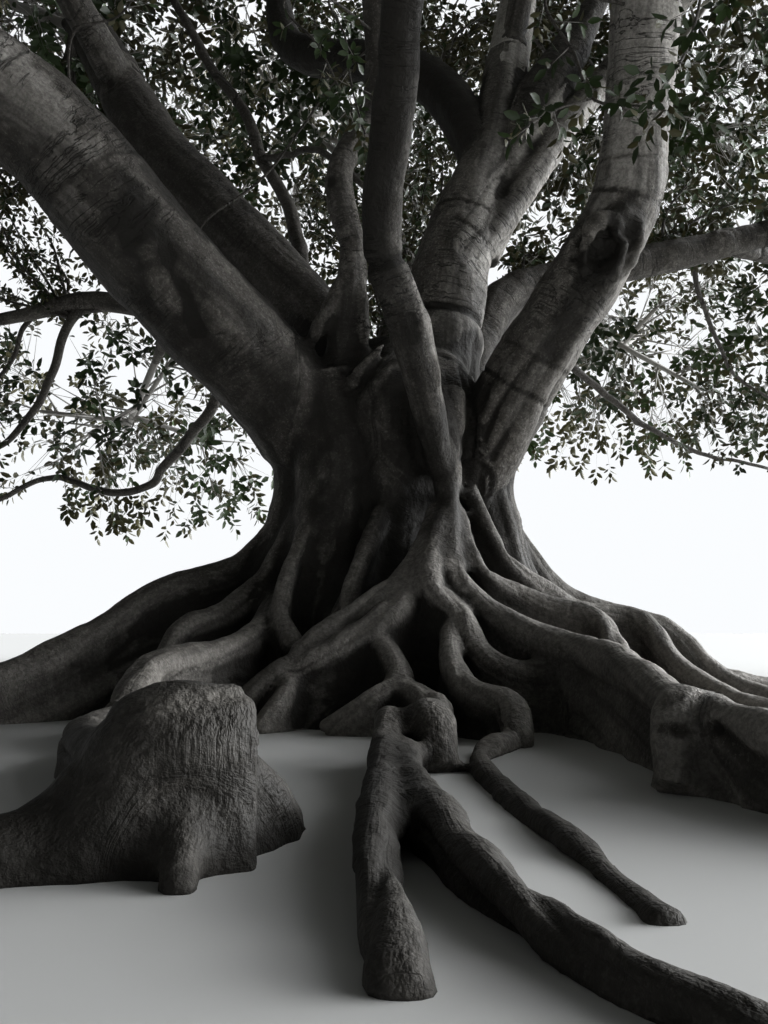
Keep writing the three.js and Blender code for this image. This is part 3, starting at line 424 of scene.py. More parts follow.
# A mark's patch starts where its bell, made ragged by noise, passes a value, and is full a rise above it.
# The creases round a limb waver along it.
PATCH_FROM = 0.22
PATCH_RISE = 0.35
WAVER = 0.07

# Broken and cut faces, where the fibres show: middle, radius and how strongly.
CUT_FACES = [
    ((-0.7, -6.72, 0.5), 0.17, 0.5), ((-0.82, -6.62, 0.4), 0.36, 0.14), ((1.6, -5.0, 0.45), 0.28, 0.8),
    ((0.12, -4.5, 0.35), 0.2, 1.0),
]

# Thin branches: radius at the start and at the end, how many of its far stations bear leaves, and its points.
BRANCHLETS = [
    (0.11, 0.06, 0,
     [[-1.3, 0.5, 4.9], [-1.15, 1.0, 5.5], [-1.36, 1.5, 6.37], [-1.77, 1.6, 7.16], [-2.13, 1.7, 8.1],
      [-2.63, 1.8, 8.85], [-3.14, 1.9, 9.76]]),
    (0.045, 0.035, 0,
     [[-1.77, 1.6, 7.16], [-1.15, 0.6, 6.75], [-0.82, -0.2, 6.27], [-0.54, -0.5, 5.93],
      [-0.34, -0.7, 5.62]]),
    (0.02, 0.012, 2,
     [[-1.95, 0.5, 5.3], [-2.25, 0.0, 5.43], [-1.56, 0.2, 6.17], [-1.12, 0.3, 6.84], [-0.77, 0.4, 7.46],
      [-0.15, 0.5, 8.2]]),
    (0.09, 0.04, 3,
     [[-4.7, 4.35, 6.15], [-5.31, 4.5, 5.95], [-5.7, 4.7, 4.97], [-6.26, 5.0, 4.25], [-6.7, 5.2, 3.91],
      [-7.56, 5.6, 3.74]]),
    (0.06, 0.03, 3,
     [[-5.31, 4.5, 5.95], [-5.93, 4.9, 6.32], [-6.37, 5.2, 5.97], [-6.85, 5.4, 5.21], [-7.55, 5.8, 4.97]]),
    (0.1, 0.05, 3,
     [[-2.6, 3.5, 5.5], [-2.91, 4.6, 4.57], [-3.52, 5.2, 4.02], [-3.95, 5.6, 3.65], [-4.28, 5.9, 3.35],
      [-5.08, 6.2, 3.24], [-5.84, 6.5, 3.53], [-6.51, 6.8, 3.62], [-7.51, 7.2, 3.31]]),
    (0.08, 0.03, 4,
     [[2.2, 3.2, 5.8], [2.72, 4.0, 5.16], [3.25, 4.4, 4.89], [4.4, 5.2, 4.28], [5.36, 5.8, 3.96],
      [7.08, 6.6, 3.78]]),
    (0.05, 0.025, 3,
     [[4.1, 1.83, 5.95], [4.38, 2.6, 6.31], [4.71, 3.2, 5.77], [5.22, 3.8, 5.26], [5.59, 4.2, 4.88],
      [6.48, 4.8, 4.59]]),
    (0.016, 0.008, 5,
     [[-0.35, -0.8, 8.3], [-1.18, -1.0, 7.59], [-0.79, -1.3, 6.86], [-0.52, -1.5, 6.17],
      [-0.42, -1.6, 5.93]]),
    (0.016, 0.008, 5,
     [[-0.2, -0.6, 7.5], [-0.66, -1.4, 7.29], [-0.49, -1.6, 6.7], [-0.41, -1.8, 6.04], [-0.28, -2.0, 5.46]]),
    (0.018, 0.008, 6,
     [[2.5, -1.7, 7.0], [1.37, -2.6, 6.44], [1.5, -3.0, 5.59], [1.58, -3.2, 5.08], [1.91, -3.4, 4.89],
      [2.09, -3.5, 4.78]]),
    (0.018, 0.008, 6,
     [[2.75, -2.4, 7.8], [2.6, -3.0, 6.9], [2.49, -3.2, 5.99], [2.29, -3.5, 5.38], [2.03, -3.8, 4.89],
      [1.87, -4.0, 4.63]]),
    (0.012, 0.006, 3, [[1.58, -3.2, 5.08], [1.3, -3.3, 4.94], [1.12, -3.4, 4.79]]),
    (0.016, 0.008, 3, [[-3.2, -1.6, 5.9], [-3.17, -1.8, 6.62], [-2.64, -2.0, 6.69], [-2.3, -2.1, 7.2]]),
]

# Leafy thin branches, a few together: the place on a bough where they start, and the middle of their tips.
LEAFY = [
    ((-4.5, 1.75, 9.25), (-6.0, 4.3, 7.9)),
    ((-5.2, 3.2, 8.9), (-6.9, 4.6, 8.0)),
    ((-4.5, 1.75, 9.25), (-4.9, 4.3, 7.2)),
    ((-5.31, 4.5, 5.95), (-6.9, 4.7, 7.0)),
    ((-5.31, 4.5, 5.95), (-6.4, 4.5, 7.9)),
    ((1.65, 1.2, 9.0), (2.9, 3.0, 9.8)),
    ((1.65, 1.2, 9.0), (3.0, 2.4, 9.0)),
    ((1.65, 1.2, 9.0), (2.5, 3.3, 10.3)),
    ((-0.3, 1.25, 8.35), (0.9, 2.6, 10.0)),
    ((0.6, 0.85, 7.75), (1.2, 2.6, 9.6)),
    ((-1.45, 2.0, 9.15), (-1.3, 3.5, 10.6)),
    ((0.3, 3.0, 5.8), (-1.1, 3.0, 6.8)),
    ((0.1, 1.6, 4.1), (-0.35, 2.1, 5.5)),
    ((1.75, 1.4, 5.25), (1.9, 2.5, 6.2)),
    ((3.75, 1.8, 5.85), (4.1, 2.6, 6.8)),
    ((3.75, 1.8, 5.85), (5.1, 3.0, 6.7)),
    ((2.6, 0.45, 7.6), (4.2, 2.6, 9.4)),
    ((0.3, 5.4, 7.1), (-1.1, 5.4, 8.9)),
    ((0.3, 5.4, 7.1), (1.3, 5.2, 9.1)),
    ((0.3, 3.0, 5.8), (-0.2, 4.2, 8.0)),
    ((-3.8, 5.4, 6.3), (-3.6, 5.0, 8.6)),
]
LEAFY_BRANCHES = 4
LEAFY_SPREAD = 0.5
LEAFY_STATIONS = 8
LEAFY_RADII = (0.03, 0.01)
KINK = 0.05

# Foliage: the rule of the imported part, carried on to finer twigs.
TWIGS_PER_MASS = 5
LOWEST_RISE = -0.62
HIGHEST_RISE = 0.9
SPRAYS_PER_TWIG = 3
FINE_SPRAYS_PER_TWIG = 8
TWIG_RADIUS = 0.07
TWIG_TIP_RADIUS = 0.045
TWIG_REACH = 0.58
STEM_REACH = 0.2
ROOM_STEP = 0.05
ROOM_STEPS = 200
SPRAY_LENGTH = 2.2
SPRAY_RADIUS = 0.026
SHOOT_RADIUS = 0.009
STALK_RADIUS = 0.008
SPRAY_TILT = 1.1
SPACE_MARGIN = 0.03
LIMB_MARGIN = 0.12
LIMB_STATIONS = np.linspace(0, 0.97, 40)
SHOOTS_PER_MASS = 1420
SHOOTS_LEAST = 0.3
SKY_GAP = (-6.6, 9.4, 7.0)
SKY_GAP_SIZE = (1.7, 4.0, 1.5)
SKY_GAP_LEAVES = 0.3
SHOOT_SLANT = 0.7
SHORTEST_SHOOT = 0.06
LONGEST_SHOOT = 1.5
LEAVES_PER_SHOOT = 8
LEAF_OPEN = 1.55
LEAF_CLOSING = 1.0
LEAF_VARIES = 0.35
LEAF_LEAST = 0.72
LEAF_RANGE = 0.5
LEAF_DROOP = 0.18
LEAF_STALK = 0.03
ROSETTE_LENGTH = 0.5
HANGING_STEP = 0.14
HANGING_MOST = 0.95
HANGING_ASIDE = 1.4
TIP_ASIDE = 0.2
HANGING_LEAST = 0.16
HANGING_RANGE = 0.22
HANGING_LEAF = 0.6
LEAF_SHADES = (0.7, 0.9, 1.15, 1.5)
LIGHT_LEAF = 1.7
HANGING_SHADES = (0, 0, 1, 2)
LEAF_ROOM = 0.1
SKELETON_STEPS = 24
EVEN_SHIFT = 0.3
INNER_SHARE = 0.4
CLUMP_SIZE = 1.1
CLUMP_SHARE = 0.7
EVEN_STEPS = np.array([0.8191725134, 0.6710436067, 0.5497004779])

# A leaf: the corners as shares of its length and width, a little curled, and its two quads.
LEAF_OUTLINE = np.array([
    [0, 0, 0], [0.34, 0.5, 0.1], [0.72, 0.4, 0.07], [1.0, 0, -0.09], [0.72, -0.4, 0.07], [0.34, -0.5, 0.1],
])
LEAF_QUADS = np.array([[0, 3, 2, 1], [0, 5, 4, 3]])

# How full some masses are, and the pieces that the leaves are put together in.
LEAF_SHARES = {
    "left_rear": 0.52, "rear_left": 0.5, "rear": 0.6, "rear_right": 0.65, "right_rear": 0.75, "left": 0.85,
}
LEAF_GROUPS = {
    "leaves_left": ["left_front", "left", "left_rear"],
    "leaves_left_high": ["left_front_high", "left_rear_high"],
    "leaves_front": ["front_left", "front", "front_right"],
    "leaves_front_high": ["front_high", "front_right_high"],
    "leaves_right": ["right_front", "right", "right_rear"],
    "leaves_right_high": ["right_high", "right_rear_high", "rear_high"],
    "leaves_rear": ["rear", "rear_left", "rear_right"],
    "leaves_crown_left": ["crown_front_left", "crown_rear_left"],
    "leaves_crown_right": ["crown_front_right", "crown_rear_right"],
}

# Camera, floor and sky. The key is a broad bright side of the sky.
CAMERA_PLACE = (-0.1, -10.0, 0.85)
CAMERA_PITCH = math.radians(7.2)
FOCAL_PIXELS = 900.0
FRAME_HEIGHT = 1024.0
SENSOR = 36.0
CLIP_END = 400.0
FLOOR_HALF = 90.0
FLOOR_ROUGHNESS = 0.9
SKY_COLOUR = (0.96, 0.98, 1.0, 1)
SKY_STRENGTH = 0.2
SKY_CHANGE = 0.17
KEY_DIRECTION = (0.93, 0.25, 0.27)
KEY_STRENGTH = 36.0
KEY_POWER = 13.0


class BanyanSizes(bpy.types.PropertyGroup):
    """Sizes of the bark's relief and of the leaves."""

    voxel: bpy.props.FloatProperty(
        name="Wood detail", description="Size of the cells that the wood is made of", default=0.033,
        unit="LENGTH")
    smoothing: bpy.props.IntProperty(
        name="Smoothing", description="How many times the wood is smoothed where limbs meet", default=5)
    relief: bpy.props.FloatProperty(
        name="Relief", description="Depth of the folds and swellings of the wood", default=0.05,
        unit="LENGTH")
    leaf_length: bpy.props.FloatProperty(
        name="Leaf length", description="Length of a leaf", default=0.21, unit="LENGTH")
    leaf_width: bpy.props.FloatProperty(
        name="Leaf width", description="Width of a leaf", default=0.1, unit="LENGTH")


class BanyanColours(bpy.types.PropertyGroup):
    """Colours of the bark, the leaves and the floor."""

    bark: bpy.props.FloatVectorProperty(
        name="Bark", description="Colour of the bark", subtype="COLOR", size=3, default=(0.1, 0.09, 0.079))
    # The pale bark also paints light on the crests.
    bark_pale: bpy.props.FloatVectorProperty(
        name="Pale bark", description="Worn crests and lichen", subtype="COLOR", size=3,
        default=(0.34, 0.32, 0.29))
    # The dark bark also paints shade in the hollows and in the dark tones.
    bark_dark: bpy.props.FloatVectorProperty(
        name="Dark bark", description="Creases and stains", subtype="COLOR", size=3,
        default=(0.02, 0.018, 0.015))
    # The smooth bark also paints light in the pale tones.
    bark_smooth: bpy.props.FloatVectorProperty(
        name="Smooth bark", description="Young bark of the upper boughs", subtype="COLOR", size=3,
        default=(0.6, 0.57, 0.53))
    leaf: bpy.props.FloatVectorProperty(
        name="Leaf", description="Upper side of the leaves", subtype="COLOR", size=3,
        default=(0.026, 0.045, 0.014))
    leaf_under: bpy.props.FloatVectorProperty(
        name="Leaf underside", description="Lower side of the leaves", subtype="COLOR", size=3,
        default=(0.075, 0.07, 0.03))
    floor: bpy.props.FloatVectorProperty(
        name="Floor", description="Colour of the floor", subtype="COLOR", size=3, default=(0.55, 0.55, 0.54))


# Chance and noise

def chance(a, b=0, c=0):
    """A repeatable number from 0 to 1: the fraction of size * sin(12.9898a + 78.233b + 37.719c + 1.5)."""
    a, b, c = np.asarray(a), np.asarray(b), np.asarray(c)
    wave = np.sin(a * 12.9898 + b * 78.233 + c * 37.719 + 1.5) * WAVE_SIZE
    return wave - np.floor(wave)


def noise(points, seed=0):
    """Smooth noise from -1 to 1: random values on a unit lattice, blended by 3f^2 - 2f^3 on each axis."""
    cell = np.floor(points)
    part = points - cell
    blend = part * part * (3 - 2 * part)
    total = np.zeros(len(points))
    for corner in np.ndindex(2, 2, 2):
        at = cell + corner
        wave = np.sin(at @ (127.1, 311.7, 74.7) + seed * 17.3) * WAVE_SIZE
        weight = np.prod(np.where(corner, blend, 1 - blend), axis=1)
        total += weight * (wave - np.floor(wave))
    return 2 * total - 1


def grown(values, start, rise):
    """How far values have grown from a start over a rise: (value - start) / rise, kept from 0 to 1."""
    return np.clip((values - start) / rise, 0, 1)


# Paths

def along(path, u):
    """Points of the smooth curve through a path's points: a Catmull-Rom cubic on each stretch, u from 0 to 1.

    With p1 and p2 the stretch's ends, p0 and p3 the points beyond and t its share, a point is half of
    2 p1 + (p2 - p0) t + (2 p0 - 5 p1 + 4 p2 - p3) t^2 + (3 p1 - p0 - 3 p2 + p3) t^3.
    """
    path = np.asarray(path, float)
    ends = np.vstack([2 * path[0] - path[1], path, 2 * path[-1] - path[-2]])
    place = np.clip(np.atleast_1d(u), 0, 1) * (len(path) - 1)
    i = np.minimum(place.astype(int), len(path) - 2)
    t = (place - i)[:, None]
    p0, p1, p2, p3 = ends[i], ends[i + 1], ends[i + 2], ends[i + 3]
    return 0.5 * (2 * p1 + (p2 - p0) * t + (2 * p0 - 5 * p1 + 4 * p2 - p3) * t**2
                  + (3 * p1 - p0 - 3 * p2 + p3) * t**3)


def unit(vectors):
    """Vectors divided by their own lengths."""
    return vectors / (np.linalg.norm(vectors, axis=-1, keepdims=True) + 1e-12)


def headings(path, u):
    """Unit directions of a path: the difference of two points a little before and after u."""
    step = 1e-3
    u = np.atleast_1d(u)
    return unit((along(path, np.minimum(u + step, 1)) - along(path, np.maximum(u - step, 0)))[:, :3])


def path_length(path):
    """Length of a path: the sum of the distances between many of its points."""
    points = along(path, np.linspace(0, 1, LENGTH_POINTS))[:, :3]
    return np.linalg.norm(np.diff(points, axis=0), axis=1).sum()


def bough_path(points, mass):
    """A bough's points, then one halfway and one at its tip, which lies on the near side of its mass."""
    last = np.array(points[-1])
    mass = np.array(mass)
    tip = mass - unit(mass - last[:3]) * MASS_SPREAD * BOUGH_ENTERS
    middle = 0.5 * (last[:3] + tip)
    return np.vstack([points, [*middle, 0.45 * last[3] + 0.55 * TIP_RADIUS], [*tip, TIP_RADIUS]])


def rear_crest(azimuth, index):
    """A root round the back: out from the flare along its azimuth, swinging aside and sinking."""
    turn = math.radians(azimuth)
    east, north = math.cos(turn), math.sin(turn)
    reach = REAR_ROOT_REACH * (0.75 + 0.5 * chance(index, 3))
    swing = REAR_ROOT_SWING * (2 * chance(index, 4) - 1)
    shoulder = SHOULDER_LEAST + SHOULDER_RANGE * chance(index, 5)
    rows = [(0.85, 0, 2.3, 0.28), (1.45, 0, shoulder, 0.2), (2.3, swing * 0.3, shoulder * 0.68, 0.18),
            (0.5 * (2.3 + reach), swing * 0.9, shoulder * 0.35, 0.16), (reach, swing * 2, 0.04, 0.12)]
    return [[radius * east - aside * north, radius * north + aside * east, z, half]
            for radius, aside, z, half in rows]


def root_crests():
    """The crest lines of every root: those of the table, then those round the back."""
    return ROOTS + [rear_crest(azimuth, i) for i, azimuth in enumerate(REAR_ROOT_AZIMUTHS)]


def stretch(path, share, step):
    """Places on a path from its start to a share of it, about a step apart."""
    return np.linspace(0, share, int(path_length(path) * share / step) + 2)


# Surfaces

def grid_faces(rows, columns):
    """Quads of a grid of rows by columns, whose columns close into a ring."""
    r, c = np.meshgrid(np.arange(rows - 1), np.arange(columns), indexing="ij")
    a = r * columns + c
    b = r * columns + (c + 1) % columns
    return np.stack([a, b, b + columns, a + columns], -1).reshape(-1, 4)


def tube_faces(rows, columns):
    """Triangles of a tube: two for each quad of its grid, and a fan over each end ring."""
    quads = grid_faces(rows, columns)
    corner = np.arange(1, columns - 1)
    first = np.stack([np.zeros_like(corner), corner + 1, corner], -1)
    last = np.stack([np.zeros_like(corner), corner, corner + 1], -1) + (rows - 1) * columns
    return np.vstack([quads[:, [0, 1, 2]], quads[:, [0, 2, 3]], first, last])


def capped(rings, number):
    """Vertices and faces of rings with a fan to a middle point at each end, numbered on from a number."""
    rows, columns = rings.shape[:2]
    vertices = np.vstack([rings.reshape(-1, 3), rings[[0, -1]].mean(1)])
    ring = np.arange(columns)
    following = (ring + 1) % columns
    last = (rows - 1) * columns
    middle = np.full(columns, rows * columns)
    fans = np.vstack([np.stack([following, ring, middle], -1),
                      np.stack([last + ring, last + following, middle + 1], -1)])
    return vertices, (grid_faces(rows, columns) + number).tolist() + (fans + number).tolist()


def ring_angles(sides):
    """Angles of the corners of a ring."""
    return np.arange(sides) * 2 * math.pi / sides


def circles(across, up, sides):
    """Unit circles: cos(angle) * across + sin(angle) * up at each corner."""
    angle = ring_angles(sides)
    return np.cos(angle)[:, None] * across[:, None] + np.sin(angle)[:, None] * up[:, None]


def tube_rings(path, u, sides):
    """Rings of a round limb: at each u, centre + radius * a unit circle across the path."""
    path = np.asarray(path, float)
    places = along(path, u)
    tangent = headings(path, u)
    run = path[-1] - path[0]
    level = unit(np.array([run[1] + 1e-6, -run[0], 0.0]))
    across = unit(level - tangent * (tangent @ level)[:, None])
    offset = circles(across, np.cross(across, tangent), sides)
    return places[:, None, :3] + places[:, 3, None, None] * offset


def wall_rings(crest, u, shares):
    """Rings of a root: the half-width at height share t is w * sqrt(1 - t^4) + foot * height * (1 - t)^2."""
    x, y, z, half = along(crest, u).T
    tangent = headings(crest, u)
    side = unit(np.stack([-tangent[:, 1], tangent[:, 0]], -1))
    height = np.maximum(z, WALL_LEAST)[:, None]
    t = np.concatenate([shares, shares[-2::-1]])
    sense = np.where(np.arange(len(t)) < len(shares), 1, -1)
    width = (WALL_SHARE * half[:, None] * np.sqrt(1 - t**4) + FOOT_PER_HEIGHT * height * (1 - t) ** 2) * sense
    return np.stack([x[:, None] + side[:, :1] * width, y[:, None] + side[:, 1:] * width,
                     (height + WALL_BELOW) * t - WALL_BELOW], -1)


def bead_of(crest):
    """The round swelling on a root's crest: its radius is least + share * half-width, its top the crest."""
    bead = np.array(crest, float)
    bead[:, 3] = BEAD_LEAST + BEAD_SHARE * bead[:, 3]
    bead[:, 2] = np.maximum(bead[:, 2] - bead[:, 3], 0.5 * bead[:, 3] - WALL_BELOW)
    return bead


def core_rings():
    """Rings of the trunk's core: radius * (1 + depth * sin(flutes * angle)) at each height of its profile."""
    profile = along(CORE_PROFILE, np.linspace(0, 1, CORE_RINGS))
    angle = ring_angles(CORE_SIDES)
    radius = profile[:, 1:] * (1 + CORE_FLUTE_DEPTH * np.sin(CORE_FLUTES * angle))
    return np.stack([radius * np.cos(angle), radius * np.sin(angle),
                     np.broadcast_to(profile[:, :1], radius.shape)], -1)


class Heap:
    """Vertices and faces of many small solids, gathered into one mesh."""

    def __init__(self):
        self.vertices = []
        self.faces = []
        self.count = 0

    def add(self, rings):
        """Adds a capped solid through rings."""
        vertices, faces = capped(rings, self.count)
        self.faces += faces
        self.vertices.append(vertices)
        self.count += len(vertices)

    def mesh(self, name):
        """The gathered mesh."""
        mesh = bpy.data.meshes.new(name)
        mesh.from_pydata(np.vstack(self.vertices).tolist(), [], self.faces)
        mesh.update()
        return mesh


def object_of(name, mesh):
    """An object for a mesh, linked to the scene."""
    made = bpy.data.objects.new(name, mesh)
    bpy.context.scene.collection.objects.link(made)
    return made


def make_piece(name, mesh, materials, slot, nodes=()):
    """Makes an object with its materials and its body, and hides the nodes it stands for. Its slot is not used.
    """
    made = object_of(name, mesh)
    for material in materials:
        mesh.materials.append(material)
    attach(made, "root")
    if nodes:
        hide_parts(*nodes)


def set_attribute(mesh, name, values):
    """Writes one number or one vector for each vertex."""
    if values.ndim == 1:
        mesh.attributes.new(name, "FLOAT", "POINT").data.foreach_set("value", values.astype(np.float32))
    else:
        layer = mesh.attributes.new(name, "FLOAT_VECTOR", "POINT")
        layer.data.foreach_set("vector", values.astype(np.float32).ravel())


def set_tone(mesh, tone):
    """Gives every vertex of a mesh the same tone of bark, and returns the mesh."""
    set_attribute(mesh, "tone", np.full(len(mesh.vertices), tone))
    return mesh


def smooth(mesh):
    """Shades a mesh smooth, and returns it."""
    mesh.polygons.foreach_set("use_smooth", np.ones(len(mesh.polygons), bool))
    return mesh


def quad_mesh(name, vertices, quads, material_index=None):
    """A mesh from arrays of vertices and quads, filled with foreach_set."""
    mesh = bpy.data.meshes.new(name)
    mesh.vertices.add(len(vertices))
    mesh.vertices.foreach_set("co", np.asarray(vertices, np.float32).ravel())
    sides = quads.shape[1]
    mesh.loops.add(quads.size)
    mesh.loops.foreach_set("vertex_index", quads.astype(np.int32).ravel())
    mesh.polygons.add(len(quads))
    mesh.polygons.foreach_set("loop_start", np.arange(0, quads.size, sides, dtype=np.int32))
    if material_index is not None:
        mesh.polygons.foreach_set("material_index", material_index.astype(np.int32))
    mesh.update(calc_edges=True)
    mesh.validate()
    return mesh


# Wood

def wood_solids(voxel):
    """The trunk, the roots and the inner stretches of the boughs, as rings a few cells apart."""
    step = RING_CELLS * voxel
    heap = Heap()
    heap.add(core_rings())
    for path in COLUMNS:
        heap.add(tube_rings(path, stretch(path, 1, step), LIMB_SIDES))
    for crest in root_crests():
        u = stretch(crest, 1, step)
        heap.add(wall_rings(crest, u, ROOT_SHARES))
        heap.add(tube_rings(bead_of(crest), u, ROOT_SIDES))
    for path in WOUND_COLLARS + LIPS + WEBS:
        heap.add(tube_rings(path, np.linspace(0, 1, DETAIL_RINGS), ROOT_SIDES))
    for _, share, points, mass in BOUGHS:
        path = bough_path(points, mass)
        heap.add(tube_rings(path, stretch(path, share, step), LIMB_SIDES))
    return heap.mesh("wood_solids")


def remeshed(mesh, voxel):
    """The same shape as one skin of even cells, as arrays of vertices and quads."""
    source = object_of("wood_source", mesh)
    modifier = source.modifiers.new("cells", "REMESH")
    modifier.mode = "VOXEL"
    modifier.voxel_size = voxel
    graph = bpy.context.evaluated_depsgraph_get()
    skin = bpy.data.meshes.new_from_object(source.evaluated_get(graph))
    bpy.data.objects.remove(source)
    vertices = np.empty(len(skin.vertices) * 3, np.float32)
    skin.vertices.foreach_get("co", vertices)
    corners = np.empty(len(skin.loops), np.int32)
    skin.loops.foreach_get("vertex_index", corners)
    if len(corners) != 4 * len(skin.polygons):
        raise RuntimeError("the remeshed wood has faces that aren't quads")
    bpy.data.meshes.remove(skin)
    return vertices.reshape(-1, 3).astype(float), corners.reshape(-1, 4)


class Skin:
    """Vertices and quads, with what smoothing and relief need to know about their neighbours."""

    def __init__(self, vertices, quads):
        self.vertices = vertices
        self.quads = quads
        ends = np.vstack([quads[:, [0, 1]], quads[:, [1, 2]], quads[:, [2, 3]], quads[:, [3, 0]]])
        self.start = ends.ravel()
        self.end = ends[:, ::-1].ravel()
        self.degree = np.bincount(self.start, minlength=len(vertices))

    def averaged(self, values):
        """Each value's mean over the vertex's neighbours."""
        columns = [np.bincount(self.start, column[self.end], len(self.vertices)) for column in values.T]
        return np.stack(columns, -1) / self.degree[:, None]

    def smoothed(self, values, times, share=0.5):
        """Values moved a share of the way to their neighbours' mean, several times."""
        for _ in range(times):
            values = values + share * (self.averaged(values) - values)
        return values

    def normals(self):
        """Unit normals: the sum of the normals of the quads around each vertex."""
        a, b, c, d = (self.vertices[self.quads[:, k]] for k in range(4))
        faces = np.cross(c - a, d - b)
        columns = [sum(np.bincount(self.quads[:, k], faces[:, axis], len(self.vertices)) for k in range(4))
                   for axis in range(3)]
        return unit(np.stack(columns, -1))


def bell(points, middle, radius):
    """A bell of the distance from a middle: e^(-(distance / radius)^2)."""
    return np.exp(-((np.linalg.norm(points - middle, axis=1) / radius) ** 2))


def wood_relief(points, grain, depth):
    """Height of the wood's folds: noise along the grain, lumps, and grooves where a noise crosses zero."""
    folds = noise(grain * 2.1, 1) * 0.5 + noise(grain * 5.0, 2) * 0.3 + noise(grain * 11.0, 5) * 0.15
    lumps = (noise(points * (1.5, 1.5, 0.6), 6) * 0.5 + noise(points * 3.1, 3) * 0.4
             + noise(points * 7.0, 4) * 0.2)
    grooves = sum(np.exp(-((noise(grain * size, seed) / GROOVE_WIDTH) ** 2))
                  for size, seed in ((1.9, 21), (3.4, 22)))
    groove_depth = GROOVE_DEPTH - GROOVE_LESS * grown(points[:, 2], GROOVE_TOP, 1)
    return depth * (folds + lumps - groove_depth * grooves * (0.6 + 0.8 * noise(points * 0.9, 23)))


def add_wound(points, height):
    """A torn wound on the right bough: a mouth and rough wood round it, each a bell of the distance."""
    distance = np.linalg.norm((points - WOUND_MOUTH) * (1.0, 1.0, 0.75), axis=1)
    torn = TORN_DEPTH * bell(points, WOUND_MOUTH, TORN_REACH) * (
        noise(points * (10, 10, 4), 41) + 0.7 * noise(points * 15, 42))
    return height - (MOUTH_DEPTH * np.exp(-((distance / MOUTH_RADIUS) ** 2)) - torn)


def mark_bells(points):
    """Each mark's bell, e^(-(distance to its line / radius)^2), with how far it stands out and its tone."""
    for start, end, radius, out, tone in MARKS:
        line = np.subtract(end, start)
        share = np.clip((points - start) @ line / (line @ line), 0, 1)
        away = np.linalg.norm(points - start - share[:, None] * line, axis=1) / radius
        yield np.exp(-away**2), out, tone


def ring_bells(points, table):
    """The bell of each ring: e^(-(distance along the limb / half-width)^2), wavering a little by noise."""
    waver = WAVER * noise(points * 2.3, 51)
    for middle, reach, width, out, tone in RINGS:
        onward = table[np.linalg.norm(table[:, :3] - middle, axis=1).argmin(), 3:6]
        offset = points - middle
        along_limb = (offset @ onward + waver) / width
        near = np.linalg.norm(offset, axis=1) < reach
        yield np.exp(-np.minimum(along_limb**2, 50)) * near, out, tone


def marked(points, table, height, tone):
    """Height and tone with the marks and rings: height takes the bell, tone a patch with a ragged edge."""
    ragged = 1 + 0.5 * noise(points * 4.5, 31) + 0.45 * noise(points * 11.0, 32)
    for bell_here, out, change in [*mark_bells(points), *ring_bells(points, table)]:
        height = height + out * bell_here
        tone = tone + change * grown(bell_here * ragged, PATCH_FROM, PATCH_RISE)
    return height, tone


def limb_table():
    """Stations along the middle of every limb: place, direction, distance run and tone."""
    limbs = [(path, 0.0) for path in [*COLUMNS, *(bead_of(crest) for crest in root_crests())]]
    limbs += [(bough_path(points, mass), LIMB_TONES.get(place, 0.0)) for place, _, points, mass in BOUGHS]
    limbs += [(path, WEB_TONE) for path in WEBS]
    rows = []
    for path, tone in limbs:
        u = stretch(path, 1, TABLE_STEP)
        rows.append(np.column_stack([along(path, u)[:, :3], headings(path, u), u * path_length(path),
                                     np.full(len(u), tone)]))
    return np.vstack(rows)


def tone_share(height):
    """How much of a limb's tone shows: none at its foot, then more and more with height."""
    more = np.clip(TONE_LOW + TONE_GAIN * (height - TONE_FROM), TONE_LEAST, TONE_MOST)
    return grown(height, TONE_FOOT, TONE_RISE) * more


def nearest_rows(table, points):
    """For each point, the number of the nearest row of a table of places, and the distance to it."""
    tree = KDTree(len(table))
    for i, row in enumerate(table):
        tree.insert(row[:3], i)
    tree.balance()
    found = [tree.find(point) for point in points]
    return np.array([f[1] for f in found]), np.array([f[2] for f in found])


def limb_frame(points, table):
    """Each point's run along its nearest limb, its grain (offset from the limb, drifting) and its tone."""
    rows = table[nearest_rows(table, points)[0]]
    offset = points - rows[:, :3]
    onward = (offset * rows[:, 3:6]).sum(1)
    offset = offset - rows[:, 3:6] * onward[:, None]
    run = rows[:, 6] + onward
    return run, offset + run[:, None] * GRAIN_DRIFT, rows[:, 7] * tone_share(points[:, 2])


def crowding_of(points, normals):
    """How much other wood is in front of each vertex, for painted shade: the share of full cells one step along
    its normal.

    Cells that hold a vertex count as 1, and are spread twice by means over 5 cells on each axis.
    """
    low = points.min(0) - 1
    cell = ((points - low) / CROWD_CELL).astype(int)
    grid = np.zeros(cell.max(0) + 12)
    grid[tuple(cell.T)] = 1
    for axis in (0, 1, 2, 0, 1, 2):
        total = np.cumsum(grid, axis)
        grid = (np.roll(total, -2, axis) - np.roll(total, 3, axis)) / 5
    ahead = ((points + CROWD_STEP * normals - low) / CROWD_CELL).astype(int)
    near = grid[tuple(ahead.T)]
    return np.clip((near - CROWD_LEAST) * CROWD_GAIN, 0, 1)


def hollow_of(skin):
    """How far each vertex lies in a hollow, from -1 on a crest to 1 in a crease, for painted light and shade.
    """
    near = skin.smoothed(skin.vertices, NEAR_PASSES)
    broad = skin.smoothed(near, BROAD_PASSES)
    normals = skin.normals()
    fine = ((near - skin.vertices) * normals).sum(1) / FINE_DEPTH
    wide = ((broad - skin.vertices) * normals).sum(1) / BROAD_DEPTH
    x, _, z = skin.vertices.T
    # Painted shade from the hollows and from wood in front, lessened low on the roots and most at the right.
    dark = FINE_SHARE * fine + BROAD_SHARE * wide + crowding_of(skin.vertices, normals)
    bright = (OPEN_LEAST + OPEN_RIGHT * grown(x, OPEN_FROM, OPEN_RISE)) * np.clip(ROOTS_TOP - z, 0, 1)
    return np.clip(dark - bright * np.maximum(dark, 0), -1, 1)


